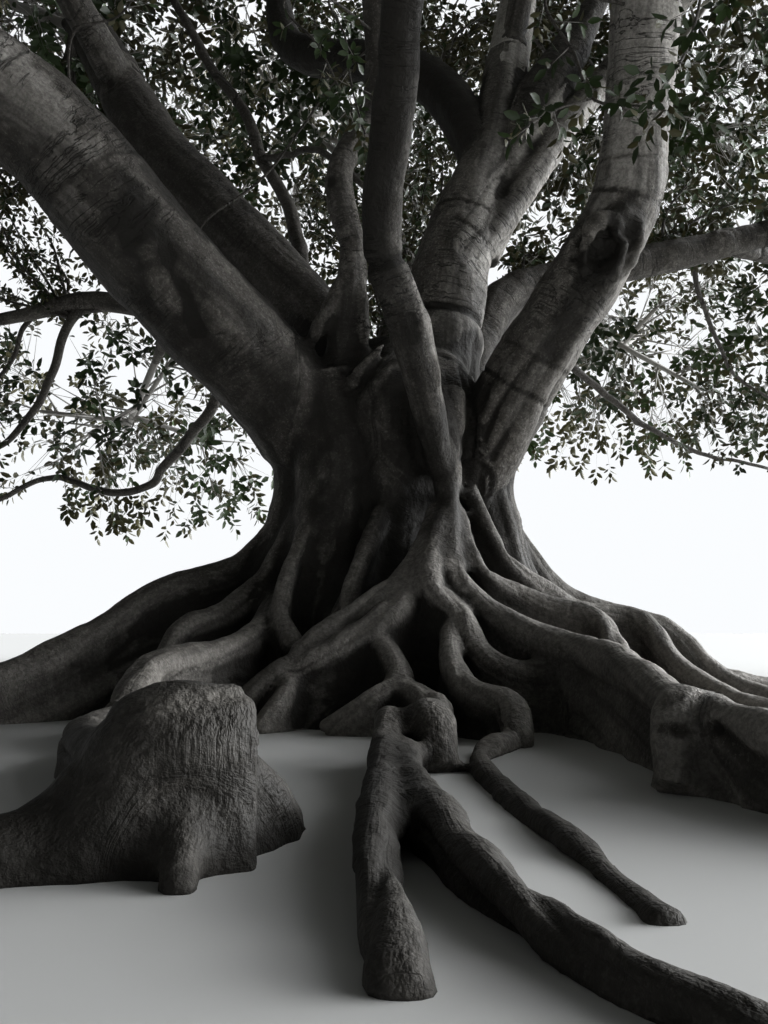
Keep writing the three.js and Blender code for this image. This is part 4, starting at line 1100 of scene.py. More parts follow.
def bark_tone(points, normals, tone):
    """The limbs' tones with painted light on the +X side and painted shade on the other, and the roots' tones.
    """
    x, y, z = points.T
    # Painted light on the side that faces +X, towards the key, and painted shade on the other side.
    painted_light_share = np.clip(PAINTED_LIGHT_LEVEL + PAINTED_LIGHT_GAIN * normals[:, 0], 0, PAINTED_LIGHT_MOST)
    painted_shade_share = PAINTED_SHADE_MOST - PAINTED_SHADE_LESS * np.clip(normals[:, 0], 0, 1)
    tone = np.where(tone > 0, tone * painted_light_share, tone * painted_shade_share)
    tone += PAINTED_LIGHT_ADDED * painted_light_share * grown(z, TONE_FOOT, 1)
    right = grown(x, RIGHT_ROOTS_FROM, RIGHT_ROOTS_FADE)
    near = grown(NEAR_ROOTS_FROM - y, 0, NEAR_ROOTS_FADE) * (z < NEAR_ROOTS_TOP)
    tone += NEAR_ROOT_TONE * near * (1 - right)
    # Painted light on the roots' sides that face the camera and on their tops, behind the near roots and at the
    # right.
    roots = np.clip(ROOTS_TOP - z, 0, 1) * np.maximum(grown(y, FAR_ROOTS_FROM, FAR_ROOTS_FADE), right)
    side = ROOT_FRONT_PAINTED_LIGHT * np.minimum(normals[:, 1], 0) * np.clip(1.0 + 0.2 * x, 0.7, 1.3)
    tone += roots * (ROOT_TONE - side)
    return tone + roots * ROOT_TOP_PAINTED_LIGHT * grown(normals[:, 2], 0.2, 1) * np.clip(0.4 + 0.5 * x, -0.8, 1)


def wood_skin(sizes):
    """The whole wood as one skin: remeshed, smoothed, then moved along its normals by the relief."""
    skin = Skin(*remeshed(wood_solids(sizes.voxel), sizes.voxel))
    skin.vertices = skin.smoothed(skin.vertices, sizes.smoothing)
    normals = skin.normals()
    table = limb_table()
    run, grain, tone = limb_frame(skin.vertices, table)
    grain = skin.smoothed(grain, GRAIN_PASSES)
    tone = bark_tone(skin.vertices, normals, skin.smoothed(tone[:, None], TONE_PASSES)[:, 0])
    height = add_wound(skin.vertices, wood_relief(skin.vertices, grain, sizes.relief))
    height, tone = marked(skin.vertices, table, height, tone)
    skin.vertices = skin.vertices + normals * height[:, None]
    lowest = np.where(normals[:, 2] > 0.1, FLOOR_CLEARANCE, 0.0)
    skin.vertices[:, 2] = np.maximum(skin.vertices[:, 2], lowest)
    skin.vertices = np.clip(skin.vertices, *CAD_BOUNDS)
    fibres = sum(strength * bell(skin.vertices, middle, radius) for middle, radius, strength in CUT_FACES)
    return skin, {"hollow": hollow_of(skin), "run": run, "grain": grain, "cut": fibres, "tone": tone}


def part_of(skin, name, chosen, normals, values):
    """A mesh of the chosen quads of a skin, which keeps the whole skin's normals along its cut edges."""
    used, corners = np.unique(skin.quads[chosen], return_inverse=True)
    mesh = smooth(quad_mesh(name, skin.vertices[used], corners.reshape(-1, 4)))
    for key, column in values.items():
        set_attribute(mesh, key, column[used])
    mesh.normals_split_custom_set_from_vertices(normals[used].tolist())
    return mesh


# Boughs beyond the wood's skin

def bough_tube(name, path, start, relief, tone):
    """A bough's outer stretch: a tube with the relief's noise added to its radius."""
    size = path_length(path)
    u = np.linspace(start, 1, max(int(size * (1 - start) / TUBE_STEP), LEAST_STEPS))
    rings = tube_rings(path, u, TUBE_SIDES)
    centres = along(path, u)
    offset = rings - centres[:, None, :3]
    run = u * size
    grain = (offset + run[:, None, None] * GRAIN_DRIFT).reshape(-1, 3)
    height = wood_relief(rings.reshape(-1, 3), grain, relief).reshape(rings.shape[:2])
    share = np.minimum(centres[:, 3] / FULL_RELIEF_RADIUS, 1)[:, None]
    rings = rings + unit(offset) * (height * share)[..., None]
    mesh = smooth(quad_mesh(name, rings.reshape(-1, 3), tube_faces(len(u), TUBE_SIDES)))
    set_attribute(mesh, "run", np.repeat(run, TUBE_SIDES))
    set_attribute(mesh, "grain", grain)
    set_attribute(mesh, "tone", tone * tone_share(rings[..., 2].ravel()))
    return mesh


def branchlet_path(start_radius, end_radius, points):
    """A thin branch's points with radii that taper evenly."""
    return np.column_stack([points, np.linspace(start_radius, end_radius, len(points))])


def branchlet_paths():
    """Every thin branch, and how many stations of its far stretch bear leaves: the named ones come first."""
    paths = [(branchlet_path(start_radius, end_radius, points), leafy)
             for start_radius, end_radius, leafy, points in BRANCHLETS]
    for number, (foot, middle) in enumerate(LEAFY):
        for n in range(LEAFY_BRANCHES):
            aside = LEAFY_SPREAD * (2 * chance(number, n, np.arange(3)) - 1)
            tip = middle + aside
            points = [foot, foot + 0.55 * (tip - foot) + 0.5 * aside[[1, 2, 0]], tip]
            paths.append((branchlet_path(*LEAFY_RADII, points), LEAFY_STATIONS))
    return paths


def branchlets_mesh():
    """Every thin branch in one mesh, with kinks of a few centimetres by noise."""
    gather = Gather()
    for path, _ in branchlet_paths():
        u = np.linspace(0, 1, max(int(path_length(path) / THIN_STEP), LEAST_STEPS))
        middles = along(path, u)
        kink = np.stack([noise(middles[:, :3] * 2.5, seed) for seed in (11, 12, 13)], -1)
        rings = tube_rings(path, u, THIN_SIDES) + (kink * np.minimum(middles[:, 3:], KINK))[:, None]
        gather.add(rings.reshape(-1, 3), tube_faces(len(u), THIN_SIDES))
    return set_tone(smooth(gather.mesh("branchlets")), BRANCHLET_TONE)


# Foliage

def in_space(index, points):
    """Whether points lie in a mass's ellipsoid and on its side of the plane halfway to every other mass."""
    out = points - MASSES[index]
    reach = (out[..., 0] ** 2 + out[..., 1] ** 2) / MASS_SPREAD**2 + out[..., 2] ** 2 / MASS_HALF_HEIGHT**2
    inside = reach < 1
    for other, middle in enumerate(MASSES):
        if other != index:
            between = middle - MASSES[index]
            apart = np.linalg.norm(between)
            inside &= out @ between / apart < apart / 2 - SPACE_MARGIN
    return inside


def room_along(index, start, direction):
    """How far a ray stays in a mass's space, in short steps."""
    steps = np.arange(1, ROOM_STEPS) * ROOM_STEP
    inside = in_space(index, start + steps[:, None] * direction)
    return ROOM_STEP * (np.argmin(inside) if not inside.all() else len(steps))


def leaf_limits():
    """The lowest and highest corners that shoots may reach: the tree's own, less room for their leaves."""
    return np.add(CAD_BOUNDS[0], LEAF_ROOM), np.subtract(CAD_BOUNDS[1], LEAF_ROOM)


def stem_of(index, path):
    """The stem of a mass: on from its bough's tip through the middle of the mass."""
    inward = headings(path, 1)[0]
    middle = MASSES[index]
    outer = middle + inward * MASS_SPREAD * STEM_REACH
    return np.array([[*path[-1][:3], TIP_RADIUS], [*middle, TWIG_RADIUS], [*outer, TWIG_TIP_RADIUS]])


def twig_of(index, twig, stem):
    """A twig: its slope follows its number, and it turns from the last twig by the golden angle."""
    share = (twig + 0.5) / TWIGS_PER_MASS
    rise = LOWEST_RISE + (HIGHEST_RISE - LOWEST_RISE) * share
    turn = GOLDEN_ANGLE * twig + 2 * math.pi * chance(index, 1)
    flat = math.sqrt(1 - rise * rise)
    direction = np.array([flat * math.cos(turn), flat * math.sin(turn), rise])
    start = along(stem, 0.35 + 0.6 * share)[0, :3]
    end = start + direction * TWIG_REACH * room_along(index, start, direction)
    return np.array([[*start, TWIG_RADIUS], [*end, TWIG_TIP_RADIUS]])


def spray_axes(index, twig, route, count):
    """A twig's sprays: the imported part's three, then finer ones that turn round it by the golden angle."""
    axes = []
    for n in range(count):
        coarse = n < SPRAYS_PER_TWIG
        u = 1 - 0.55 * n / (SPRAYS_PER_TWIG - 1) if coarse else 0.15 + 0.8 * chance(index, twig, 30 + n)
        direction = headings(route, u)[0]
        side = unit(np.cross(direction, (0, 0, 1)))
        sense = 1 if n % 2 else -1
        if coarse:
            turn = 0 if n == 0 else 1.0
            tilt = SPRAY_TILT * (chance(index, twig, 2 + n) - 0.5)
            out = unit(direction * math.cos(turn) + side * sense * math.sin(turn) + np.array([0, 0, tilt]))
            length = SPRAY_LENGTH
        else:
            turn = 0.7 + 0.5 * chance(index, twig, 50 + n)
            round_way = GOLDEN_ANGLE * n
            radial = side * math.cos(round_way) + np.cross(side, direction) * math.sin(round_way)
            out = unit(direction * math.cos(turn) + radial * math.sin(turn))
            length = SPRAY_LENGTH * (0.6 + 0.4 * chance(index, twig, 60 + n))
        start = along(route, u)[0, :3]
        end = start + out * min(length, room_along(index, start, out))
        axes.append((start, np.clip(end, *leaf_limits())))
    return axes


def skeleton_of(index, path):
    """A mass's stem and twigs as paths, and the two ends of every spray's axis."""
    stem = stem_of(index, path)
    routes = [stem]
    axes = spray_axes(index, TWIGS_PER_MASS, stem, FINE_SPRAYS_PER_TWIG)
    for twig in range(TWIGS_PER_MASS):
        route = twig_of(index, twig, stem)
        routes.append(route)
        axes += spray_axes(index, twig, route, FINE_SPRAYS_PER_TWIG)
    return routes, axes


def shoot_frame(direction):
    """Two unit directions across each direction: a level one, and the one that is square to both."""
    level = unit(np.cross(direction, (0.0, 0.02, 1.0)))
    return level, np.cross(direction, level)


def spikes(start, end, radius, sides=3):
    """Many thin shoots at once: a ring of corners round each start, and a point at its end."""
    level, up = shoot_frame(unit(end - start))
    corners = np.concatenate([start[:, None] + radius * circles(level, up, sides), end[:, None]], 1)
    ring = np.arange(sides)
    sides_up = np.stack([ring, (ring + 1) % sides, np.full(sides, sides)], -1)
    inner = ring[1:-1]
    foot = np.stack([np.zeros_like(inner), inner + 1, inner], -1)
    first = np.arange(len(start))[:, None, None] * (sides + 1)
    return corners.reshape(-1, 3), (np.vstack([sides_up, foot])[None] + first).reshape(-1, 3)


def even_points(count, index):
    """Points in the unit ball: fractions of n times irrational steps, shifted by chance, thinner inside."""
    n = np.arange(1, 4 * count)[:, None]
    shift = EVEN_SHIFT * (chance(n, index, np.arange(3)) - 0.5)
    cube = 2 * ((chance(index, np.arange(3)) + n * EVEN_STEPS + shift) % 1) - 1
    reach = np.linalg.norm(cube, axis=1)
    ball = cube[(reach < 1) & (chance(n[:, 0], index, 4) < INNER_SHARE + (1 - INNER_SHARE) * reach**2)]
    return ball[:count]


def shoots_of(index, axes, routes, count):
    """Shoots of a mass: an even spread of tips, each grown from a little back along the nearest twig."""
    steps = np.linspace(0, 1, SKELETON_STEPS)
    lines = [start + (end - start) * steps[:, None] for start, end in axes]
    lines += [along(route, 0.3 + 0.7 * steps)[:, :3] for route in routes]
    table = np.vstack(lines)
    tips = MASSES[index] + even_points(count, index) * (MASS_SPREAD, MASS_SPREAD, MASS_HALF_HEIGHT)
    tips = tips[in_space(index, tips)]
    nearest, distance = nearest_rows(table, tips)
    line = nearest // SKELETON_STEPS
    back = (SHOOT_SLANT * distance / (SPRAY_LENGTH / SKELETON_STEPS)).astype(int)
    start = table[np.maximum(nearest - back, line * SKELETON_STEPS)]
    near = (distance > SHORTEST_SHOOT) & (distance < LONGEST_SHOOT)
    return start[near], tips[near], line[near]


def clear_of_limbs(points, limbs):
    """Whether points keep a margin from every limb, given as stations of [x, y, z, radius]."""
    free = np.ones(len(points), bool)
    for x, y, z, radius in limbs:
        free &= ((points - (x, y, z)) ** 2).sum(1) > (radius + LIMB_MARGIN) ** 2
    return free


def leaves_on(start, end, spray, sizes, gain=1.0):
    """Leaves in a rosette at each shoot's tip: turned by the golden angle, the outer ones spread the most."""
    count = LEAVES_PER_SHOOT
    axis = unit(end - start)
    level, up = shoot_frame(axis)
    shoot = np.arange(len(start))[:, None]
    leaf = np.arange(count)[None]
    share = (leaf + 0.5) / count
    turn = GOLDEN_ANGLE * leaf + 6.3 * chance(shoot, 9)
    open_angle = LEAF_OPEN - LEAF_CLOSING * share + LEAF_VARIES * (chance(shoot, leaf, 2) - 0.5)
    radial = level[:, None] * np.cos(turn)[..., None] + up[:, None] * np.sin(turn)[..., None]
    length_way = axis[:, None] * np.cos(open_angle)[..., None] + radial * np.sin(open_angle)[..., None]
    length_way = unit(length_way - np.array([0, 0, LEAF_DROOP]))
    face_way = unit(axis[:, None] + 0.5 * np.array([0, 0, 1.0]) - 0.2 * radial)
    face_way = unit(face_way - length_way * (face_way * length_way).sum(-1, keepdims=True))
    side_way = np.cross(face_way, length_way)
    scale = (LEAF_LEAST + LEAF_RANGE * chance(shoot, leaf, 4))[..., None, None]
    size = np.minimum(np.linalg.norm(end - start, axis=1), ROSETTE_LENGTH)[:, None]
    base = end[:, None] - axis[:, None] * (0.7 * size * (1 - share))[..., None] + length_way * LEAF_STALK
    corner = LEAF_OUTLINE * (sizes.leaf_length, sizes.leaf_width, sizes.leaf_width) * gain
    away = sum(way[:, :, None] * corner[:, k, None] for k, way in enumerate((length_way, side_way, face_way)))
    points = base[:, :, None] + scale * away
    first = np.arange(len(start) * count)[:, None, None] * len(LEAF_OUTLINE)
    quads = (LEAF_QUADS[None] + first).reshape(-1, 4)
    shade = np.floor(4 * chance(spray, 3, 8) + 0.8 * (chance(np.arange(len(start)), 6) - 0.5)).clip(0, 3)
    return points.reshape(-1, 3), quads, np.repeat(shade, count * len(LEAF_QUADS))


class Gather:
    """Arrays of vertices and quads from many parts, joined with their indices moved on."""

    def __init__(self):
        self.vertices = []
        self.quads = []
        self.shades = []
        self.count = 0

    def add(self, vertices, quads, shades=None):
        """Adds one part, and the number of each face's material if it has several."""
        self.vertices.append(vertices)
        self.quads.append(quads + self.count)
        self.count += len(vertices)
        if shades is not None:
            self.shades.append(shades)

    def mesh(self, name):
        """The gathered mesh."""
        shades = np.concatenate(self.shades) if self.shades else None
        return quad_mesh(name, np.vstack(self.vertices), np.vstack(self.quads), shades)


def grow_mass(index, path, limbs, sizes, twigs, leaves):
    """Grows one mass: its stem and twigs, the axes of its sprays, their shoots and the leaves on them."""
    routes, axes = skeleton_of(index, path)
    for route in routes:
        rings = tube_rings(route, np.linspace(0, 1, TWIG_SIDES), TWIG_SIDES)
        twigs.add(rings.reshape(-1, 3), tube_faces(TWIG_SIDES, TWIG_SIDES))
    base, tip = np.array(axes).swapaxes(0, 1)
    twigs.add(*spikes(base, tip, SPRAY_RADIUS, 4))
    share = LEAF_SHARES.get(PLACES[index], 1.0)
    count = int(SHOOTS_PER_MASS * (SHOOTS_LEAST + (1 - SHOOTS_LEAST) * share))
    start, end, spray = shoots_of(index, axes, routes, count)
    near = limbs[np.linalg.norm(limbs[:, :3] - MASSES[index], axis=1) < 2 * MASS_SPREAD]
    low, high = leaf_limits()
    keep = clear_of_limbs(end, near) & (end > low).all(1) & (end < high).all(1)
    outside_gap = np.linalg.norm((end - SKY_GAP) / SKY_GAP_SIZE, axis=1) > 1
    keep &= outside_gap | (chance(np.arange(len(end)), 12) < SKY_GAP_LEAVES)
    clumps = noise(end / CLUMP_SIZE, 61)
    keep &= clumps > np.quantile(clumps, CLUMP_SHARE * (1 - share))
    start, end, spray = start[keep], end[keep], spray[keep]
    twigs.add(*spikes(start, end, SHOOT_RADIUS))
    leaves.add(*leaves_on(start, end, spray + 100 * index, sizes))


def hanging_shoots():
    """Short shoots to either side of the thin branches' far stretches, and one at each tip."""
    starts = []
    ends = []
    for number, (path, count) in enumerate(branchlet_paths()):
        for n in range(2 * count):
            u = 1 - min(HANGING_STEP * count, HANGING_MOST) * n / (2 * count)
            place = along(path, u)[0, :3]
            turn = GOLDEN_ANGLE * n + 6.3 * chance(number, 2)
            side = np.array([math.cos(turn), math.sin(turn), 0.5 * chance(number, n) - 0.35])
            out = unit(headings(path, u)[0] + side * (TIP_ASIDE if n == 0 else HANGING_ASIDE))
            starts.append(place)
            ends.append(place + out * (HANGING_LEAST + HANGING_RANGE * chance(number, n, 3)))
    return np.array(starts), np.array(ends)


# Node groups

def group_with(name, inputs, outputs):
    """An empty shader node group with named sockets, and its input and output nodes."""
    group = bpy.data.node_groups.new(name, "ShaderNodeTree")
    for label, kind, value in inputs:
        socket = group.interface.new_socket(label, in_out="INPUT", socket_type=kind)
        socket.default_value = value
    for label, kind in outputs:
        group.interface.new_socket(label, in_out="OUTPUT", socket_type=kind)
    return group, group.nodes.new("NodeGroupInput"), group.nodes.new("NodeGroupOutput")


def put(tree, kind, values=None, links=None, **settings):
    """A node with its settings, socket values and incoming links."""
    node = tree.nodes.new(kind)
    for key, value in settings.items():
        setattr(node, key, value)
    for key, value in (values or {}).items():
        node.inputs[key].default_value = value
    for key, source in (links or {}).items():
        tree.links.new(source, node.inputs[key])
    return node


def ramp(tree, factor, stops):
    """A colour ramp of (position, value) grey stops."""
    node = put(tree, "ShaderNodeValToRGB", links={"Fac": factor})
    elements = node.color_ramp.elements
    while len(elements) < len(stops):
        elements.new(0.5)
    for element, (position, value) in zip(elements, stops):
        element.position = position
        element.color = (value, value, value, 1)
    return node.outputs["Color"]


def noise_node(tree, vector, scale, detail, roughness=0.55):
    """A noise texture's value."""
    node = put(tree, "ShaderNodeTexNoise", {"Scale": scale, "Detail": detail, "Roughness": roughness},
               {"Vector": vector})
    return node.outputs["Fac"]


def math_node(tree, operation, a, b=None, clamp=False):
    """A math node of two sockets or numbers."""
    node = tree.nodes.new("ShaderNodeMath")
    node.operation = operation
    node.use_clamp = clamp
    for socket, value in zip(node.inputs, (a, b)):
        if value is None:
            continue
        if isinstance(value, (int, float)):
            socket.default_value = value
        else:
            tree.links.new(value, socket)
    return node.outputs[0]


def times(tree, a, b, clamp=False):
    """The product of two sockets or numbers."""
    return math_node(tree, "MULTIPLY", a, b, clamp)


def plus(tree, a, b, clamp=False):
    """The sum of two sockets or numbers."""
    return math_node(tree, "ADD", a, b, clamp)


def minus(tree, a, b, clamp=False):
    """The difference of two sockets or numbers."""
    return math_node(tree, "SUBTRACT", a, b, clamp)


def noise_mask(tree, vector, scale, detail, roughness, low, high):
    """A noise's mask: 0 where the noise is below low, 1 where it is above high."""
    return ramp(tree, noise_node(tree, vector, scale, detail, roughness), [(low, 0), (high, 1)])


def mixed(tree, factor, a, b):
    """Two colours mixed by a factor."""
    node = put(tree, "ShaderNodeMix", data_type="RGBA")
    for socket, value in ((node.inputs["Factor"], factor), (node.inputs[6], a), (node.inputs[7], b)):
        if hasattr(value, "is_linked"):
            tree.links.new(value, socket)
        else:
            socket.default_value = value
    return node.outputs[2]


def crease_group():
    """Thin dark lines across a limb: noise that changes fast along the run and slowly round the limb."""
    value = "NodeSocketFloat"
    group, given, result = group_with("Bark creases", [("Run", value, 0.0)], [("Mask", value)])
    where = put(group, "ShaderNodeTexCoord").outputs["Object"]
    wander = noise_node(group, where, 1.3, 2)
    steps = put(group, "ShaderNodeCombineXYZ", links={
        "X": plus(group, times(group, given.outputs["Run"], 5.0), times(group, wander, 1.6)),
        "Y": times(group, wander, 3.0)}).outputs[0]
    ridge = math_node(group, "ABSOLUTE", minus(group, noise_node(group, steps, 1.6, 3, 0.65), 0.5))
    thin = ramp(group, ridge, [(0.0, 1), (0.022, 0)])
    where_shown = noise_mask(group, where, 1.1, 2, 0.55, 0.42, 0.56)
    height = put(group, "ShaderNodeSeparateXYZ", links={"Vector": where}).outputs["Z"]
    high = math_node(group, "MAXIMUM", minus(group, height, 2.8, True), 0.3)
    group.links.new(times(group, thin, times(group, where_shown, high)), result.inputs["Mask"])
    return group


def bark_colour_group():
    """Bark colour: streaks along the grain, pale patches of wear and lichen, grit, flecks, stains, painted
    light on the crests and painted shade in the hollows.
    """
    colour, value = "NodeSocketColor", "NodeSocketFloat"
    group, given, result = group_with("Bark colour", [
        ("Bark", colour, (0.15, 0.14, 0.12, 1)), ("Pale", colour, (0.36, 0.34, 0.31, 1)),
        ("Dark", colour, (0.04, 0.035, 0.03, 1)), ("Smooth", colour, (0.5, 0.5, 0.5, 1)),
        ("Hollow", value, 0.0), ("Paleness", value, 0.5), ("Crease", value, 0.0), ("Tone", value, 0.0),
        ("Grain", "NodeSocketVector", (0, 0, 0))], [("Color", colour), ("Roughness", value)])
    given = given.outputs
    where = put(group, "ShaderNodeTexCoord").outputs["Object"]
    grain = given["Grain"]
    streak = noise_mask(group, grain, 9, 3, 0.66, 0.38, 0.62)
    patch = noise_mask(group, where, 1.7, 4, 0.66, 0.44, 0.6)
    blotch = noise_mask(group, where, 7.5, 4, 0.72, 0.5, 0.62)
    grit = noise_mask(group, where, 26, 3, 0.8, 0.4, 0.6)
    fleck = noise_mask(group, where, 42, 2, 0.7, 0.57, 0.64)
    stain = noise_mask(group, grain, 2.4, 4, 0.68, 0.47, 0.62)
    uneven = ramp(group, noise_node(group, where, 3.1, 3, 0.6), [(0.3, 0.6), (0.6, 1)])
    # Painted light on the crests and painted shade in the creases, both from the hollow attribute; the random
    # patches are wear.
    crest = times(group, given["Hollow"], -1.3, True)
    crease = ramp(group, given["Hollow"], [(0.0, 0), (0.55, 1)])
    worn_and_painted_light = plus(group, patch, crest, True)
    # The tone's pale and dark bark, partly the bark's own and partly painted light and shade.
    paler = times(group, given["Tone"], 0.85, True)
    darker = times(group, given["Tone"], -0.85, True)
    left = minus(group, 1.0, darker)
    lichen = times(group, blotch, plus(group, times(group, crest, 0.6), 0.15))
    tone = given["Bark"]
    for mask, share, finish in (
            (streak, 0.35, "Dark"), (worn_and_painted_light, given["Paleness"], "Pale"), (paler, uneven, "Smooth"),
            (darker, 1.0, "Dark"), (lichen, left, "Pale"), (grit, 0.42, "Dark"),
            (times(group, fleck, 0.45), left, "Pale"), (stain, 0.72, "Dark"), (crease, 0.92, "Dark"),
            (given["Crease"], 0.85, "Dark")):
        tone = mixed(group, times(group, mask, share), tone, given[finish])
    group.links.new(tone, result.inputs["Color"])
    group.links.new(plus(group, times(group, patch, 0.15), 0.68), result.inputs["Roughness"])
    return group


def bark_height_group():
    """Bark height: soft lumps, pocks, fibres along the grain, creases across and strands of cut wood."""
    value = "NodeSocketFloat"
    group, given, result = group_with("Bark height", [
        ("Crease", value, 0.0), ("Fibres", value, 0.3), ("Cut", value, 0.0),
        ("Grain", "NodeSocketVector", (0, 0, 0))], [("Height", value)])
    given = given.outputs
    where = put(group, "ShaderNodeTexCoord").outputs["Object"]
    lumps = noise_node(group, where, 9, 5, 0.62)
    pocks = put(group, "ShaderNodeTexVoronoi", {"Scale": 6.0, "Randomness": 1.0}, {"Vector": where})
    pock = ramp(group, pocks.outputs["Distance"], [(0.04, 0), (0.16, 1)])
    fibres = noise_node(group, given["Grain"], 26, 3, 0.6)
    upright = put(group, "ShaderNodeVectorMath", {1: (1, 1, 0.06)}, {0: where}, operation="MULTIPLY")
    strands = noise_node(group, upright.outputs[0], 34, 3, 0.6)
    total = times(group, lumps, 0.8)
    for height, share in (
            (pock, 0.1), (fibres, given["Fibres"]), (given["Crease"], -0.35), (strands, given["Cut"])):
        total = plus(group, total, times(group, height, share))
    group.links.new(total, result.inputs["Height"])
    return group


def leaf_colour_group():
    """Leaf colour: the base colour, a little lighter or darker over the crown."""
    colour = "NodeSocketColor"
    group, given, result = group_with("Leaf colour", [
        ("Leaf", colour, (0.04, 0.06, 0.02, 1)), ("Light", colour, (0.08, 0.1, 0.03, 1)),
    ], [("Color", colour)])
    where = put(group, "ShaderNodeTexCoord").outputs["Object"]
    share = times(group, noise_mask(group, where, 2.6, 3, 0.55, 0.35, 0.7), 0.6)
    tone = mixed(group, share, given.outputs["Leaf"], given.outputs["Light"])
    group.links.new(tone, result.inputs["Color"])
    return group


def shader_of(material):
    """The Principled node of a material."""
    return next(n for n in material.node_tree.nodes if n.type == "BSDF_PRINCIPLED")


def new_material(name):
    """A material with nodes."""
    material = bpy.data.materials.new(name)
    material.use_nodes = True
    return material


def bark_material(name, groups, colours, paleness, creases, fibres):
    """Bark: colour and roughness by the shared group, fibres and creases through a bump."""
    material = new_material(name)
    tree = material.node_tree
    shader = shader_of(material)
    given = {key: put(tree, "ShaderNodeAttribute", attribute_name=key).outputs
             for key in ("hollow", "run", "grain", "tone", "cut")}
    lines = put(tree, "ShaderNodeGroup", links={"Run": given["run"]["Fac"]}, node_tree=groups["crease"])
    shared = {"Crease": times(tree, lines.outputs["Mask"], creases), "Grain": given["grain"]["Vector"]}
    look = put(tree, "ShaderNodeGroup", {
        "Bark": (*colours.bark, 1), "Pale": (*colours.bark_pale, 1), "Dark": (*colours.bark_dark, 1),
        "Smooth": (*colours.bark_smooth, 1), "Paleness": paleness,
    }, {**shared, "Hollow": given["hollow"]["Fac"], "Tone": given["tone"]["Fac"]}, node_tree=groups["colour"])
    height = put(tree, "ShaderNodeGroup", {"Fibres": fibres}, {**shared, "Cut": given["cut"]["Fac"]},
                 node_tree=groups["height"])
    bump = put(tree, "ShaderNodeBump", {"Strength": 1.0, "Distance": BUMP_DEPTH},
               {"Height": height.outputs["Height"]})
    tree.links.new(look.outputs["Color"], shader.inputs["Base Color"])
    tree.links.new(look.outputs["Roughness"], shader.inputs["Roughness"])
    tree.links.new(bump.outputs["Normal"], shader.inputs["Normal"])
    shader.inputs["Specular IOR Level"].default_value = BARK_GLOSS
    return material


def leaf_material(name, group, colours, gain):
    """Leaves: green above and rusty below, a soft gloss."""
    material = new_material(name)
    tree = material.node_tree
    shader = shader_of(material)
    tone = put(tree, "ShaderNodeGroup", {
        "Leaf": (*(c * gain for c in colours.leaf), 1),
        "Light": (*(c * gain * LIGHT_LEAF for c in colours.leaf), 1)}, node_tree=group)
    under = (*(c * gain for c in colours.leaf_under), 1)
    behind = put(tree, "ShaderNodeNewGeometry").outputs["Backfacing"]
    tree.links.new(mixed(tree, behind, tone.outputs["Color"], under), shader.inputs["Base Color"])
    shader.inputs["Roughness"].default_value = LEAF_ROUGHNESS
    shader.inputs["Specular IOR Level"].default_value = LEAF_GLOSS
    return material


# Operators

class BANYAN_OT_wood(bpy.types.Operator):
    """Makes the trunk, the roots and the boughs."""

    bl_idname = "banyan.wood"
    bl_label = "Wood"

    def execute(self, context):
        sizes = context.scene.banyan_sizes
        colours = context.scene.banyan_colours
        groups = {"crease": crease_group(), "colour": bark_colour_group(), "height": bark_height_group()}
        trunk_bark, root_bark, bough_bark = (
            bark_material(name, groups, colours, *amounts) for name, amounts in BARKS.items())
        skin, values = wood_skin(sizes)
        normals = skin.normals()
        middle = skin.vertices[skin.quads].mean(1)
        low = middle[:, 2] < LOW_WOOD
        front = middle[:, 1] < FRONT_WOOD
        left_end, right_end = np.quantile(middle[~low, 0], (1 / 3, 2 / 3))
        left = middle[:, 0] < left_end
        right = middle[:, 0] >= right_end
        rear_roots = [n for n in NODE_NAMES if n.startswith("root_rear")]
        front_roots = [n for n in NODE_NAMES if n.startswith("root") and n not in rear_roots]
        for name, chosen, material, slot, nodes in (
                ("trunk_skin", ~low & ~left & ~right, trunk_bark, "trunk_bark", ["trunk"]),
                ("bough_skin_left", ~low & left, trunk_bark, "trunk_bark", []),
                ("bough_skin_right", ~low & right, trunk_bark, "trunk_bark", []),
                ("root_skin_front", low & front, root_bark, "root_bark", front_roots),
                ("root_skin_rear", low & ~front, root_bark, "root_bark", rear_roots)):
            make_piece(name, part_of(skin, name, chosen, normals, values), [material], slot, nodes)
        for place, share, points, mass in BOUGHS:
            name = f"limb_{place}"
            mesh = bough_tube(name, bough_path(points, mass), share - SKIN_OVERLAP, sizes.relief,
                              LIMB_TONES.get(place, 0.0))
            make_piece(name, mesh, [bough_bark], "bough_bark", [f"bough_{place}"])
        make_piece("branchlets", branchlets_mesh(), [bough_bark], "bough_bark")
        return {"FINISHED"}


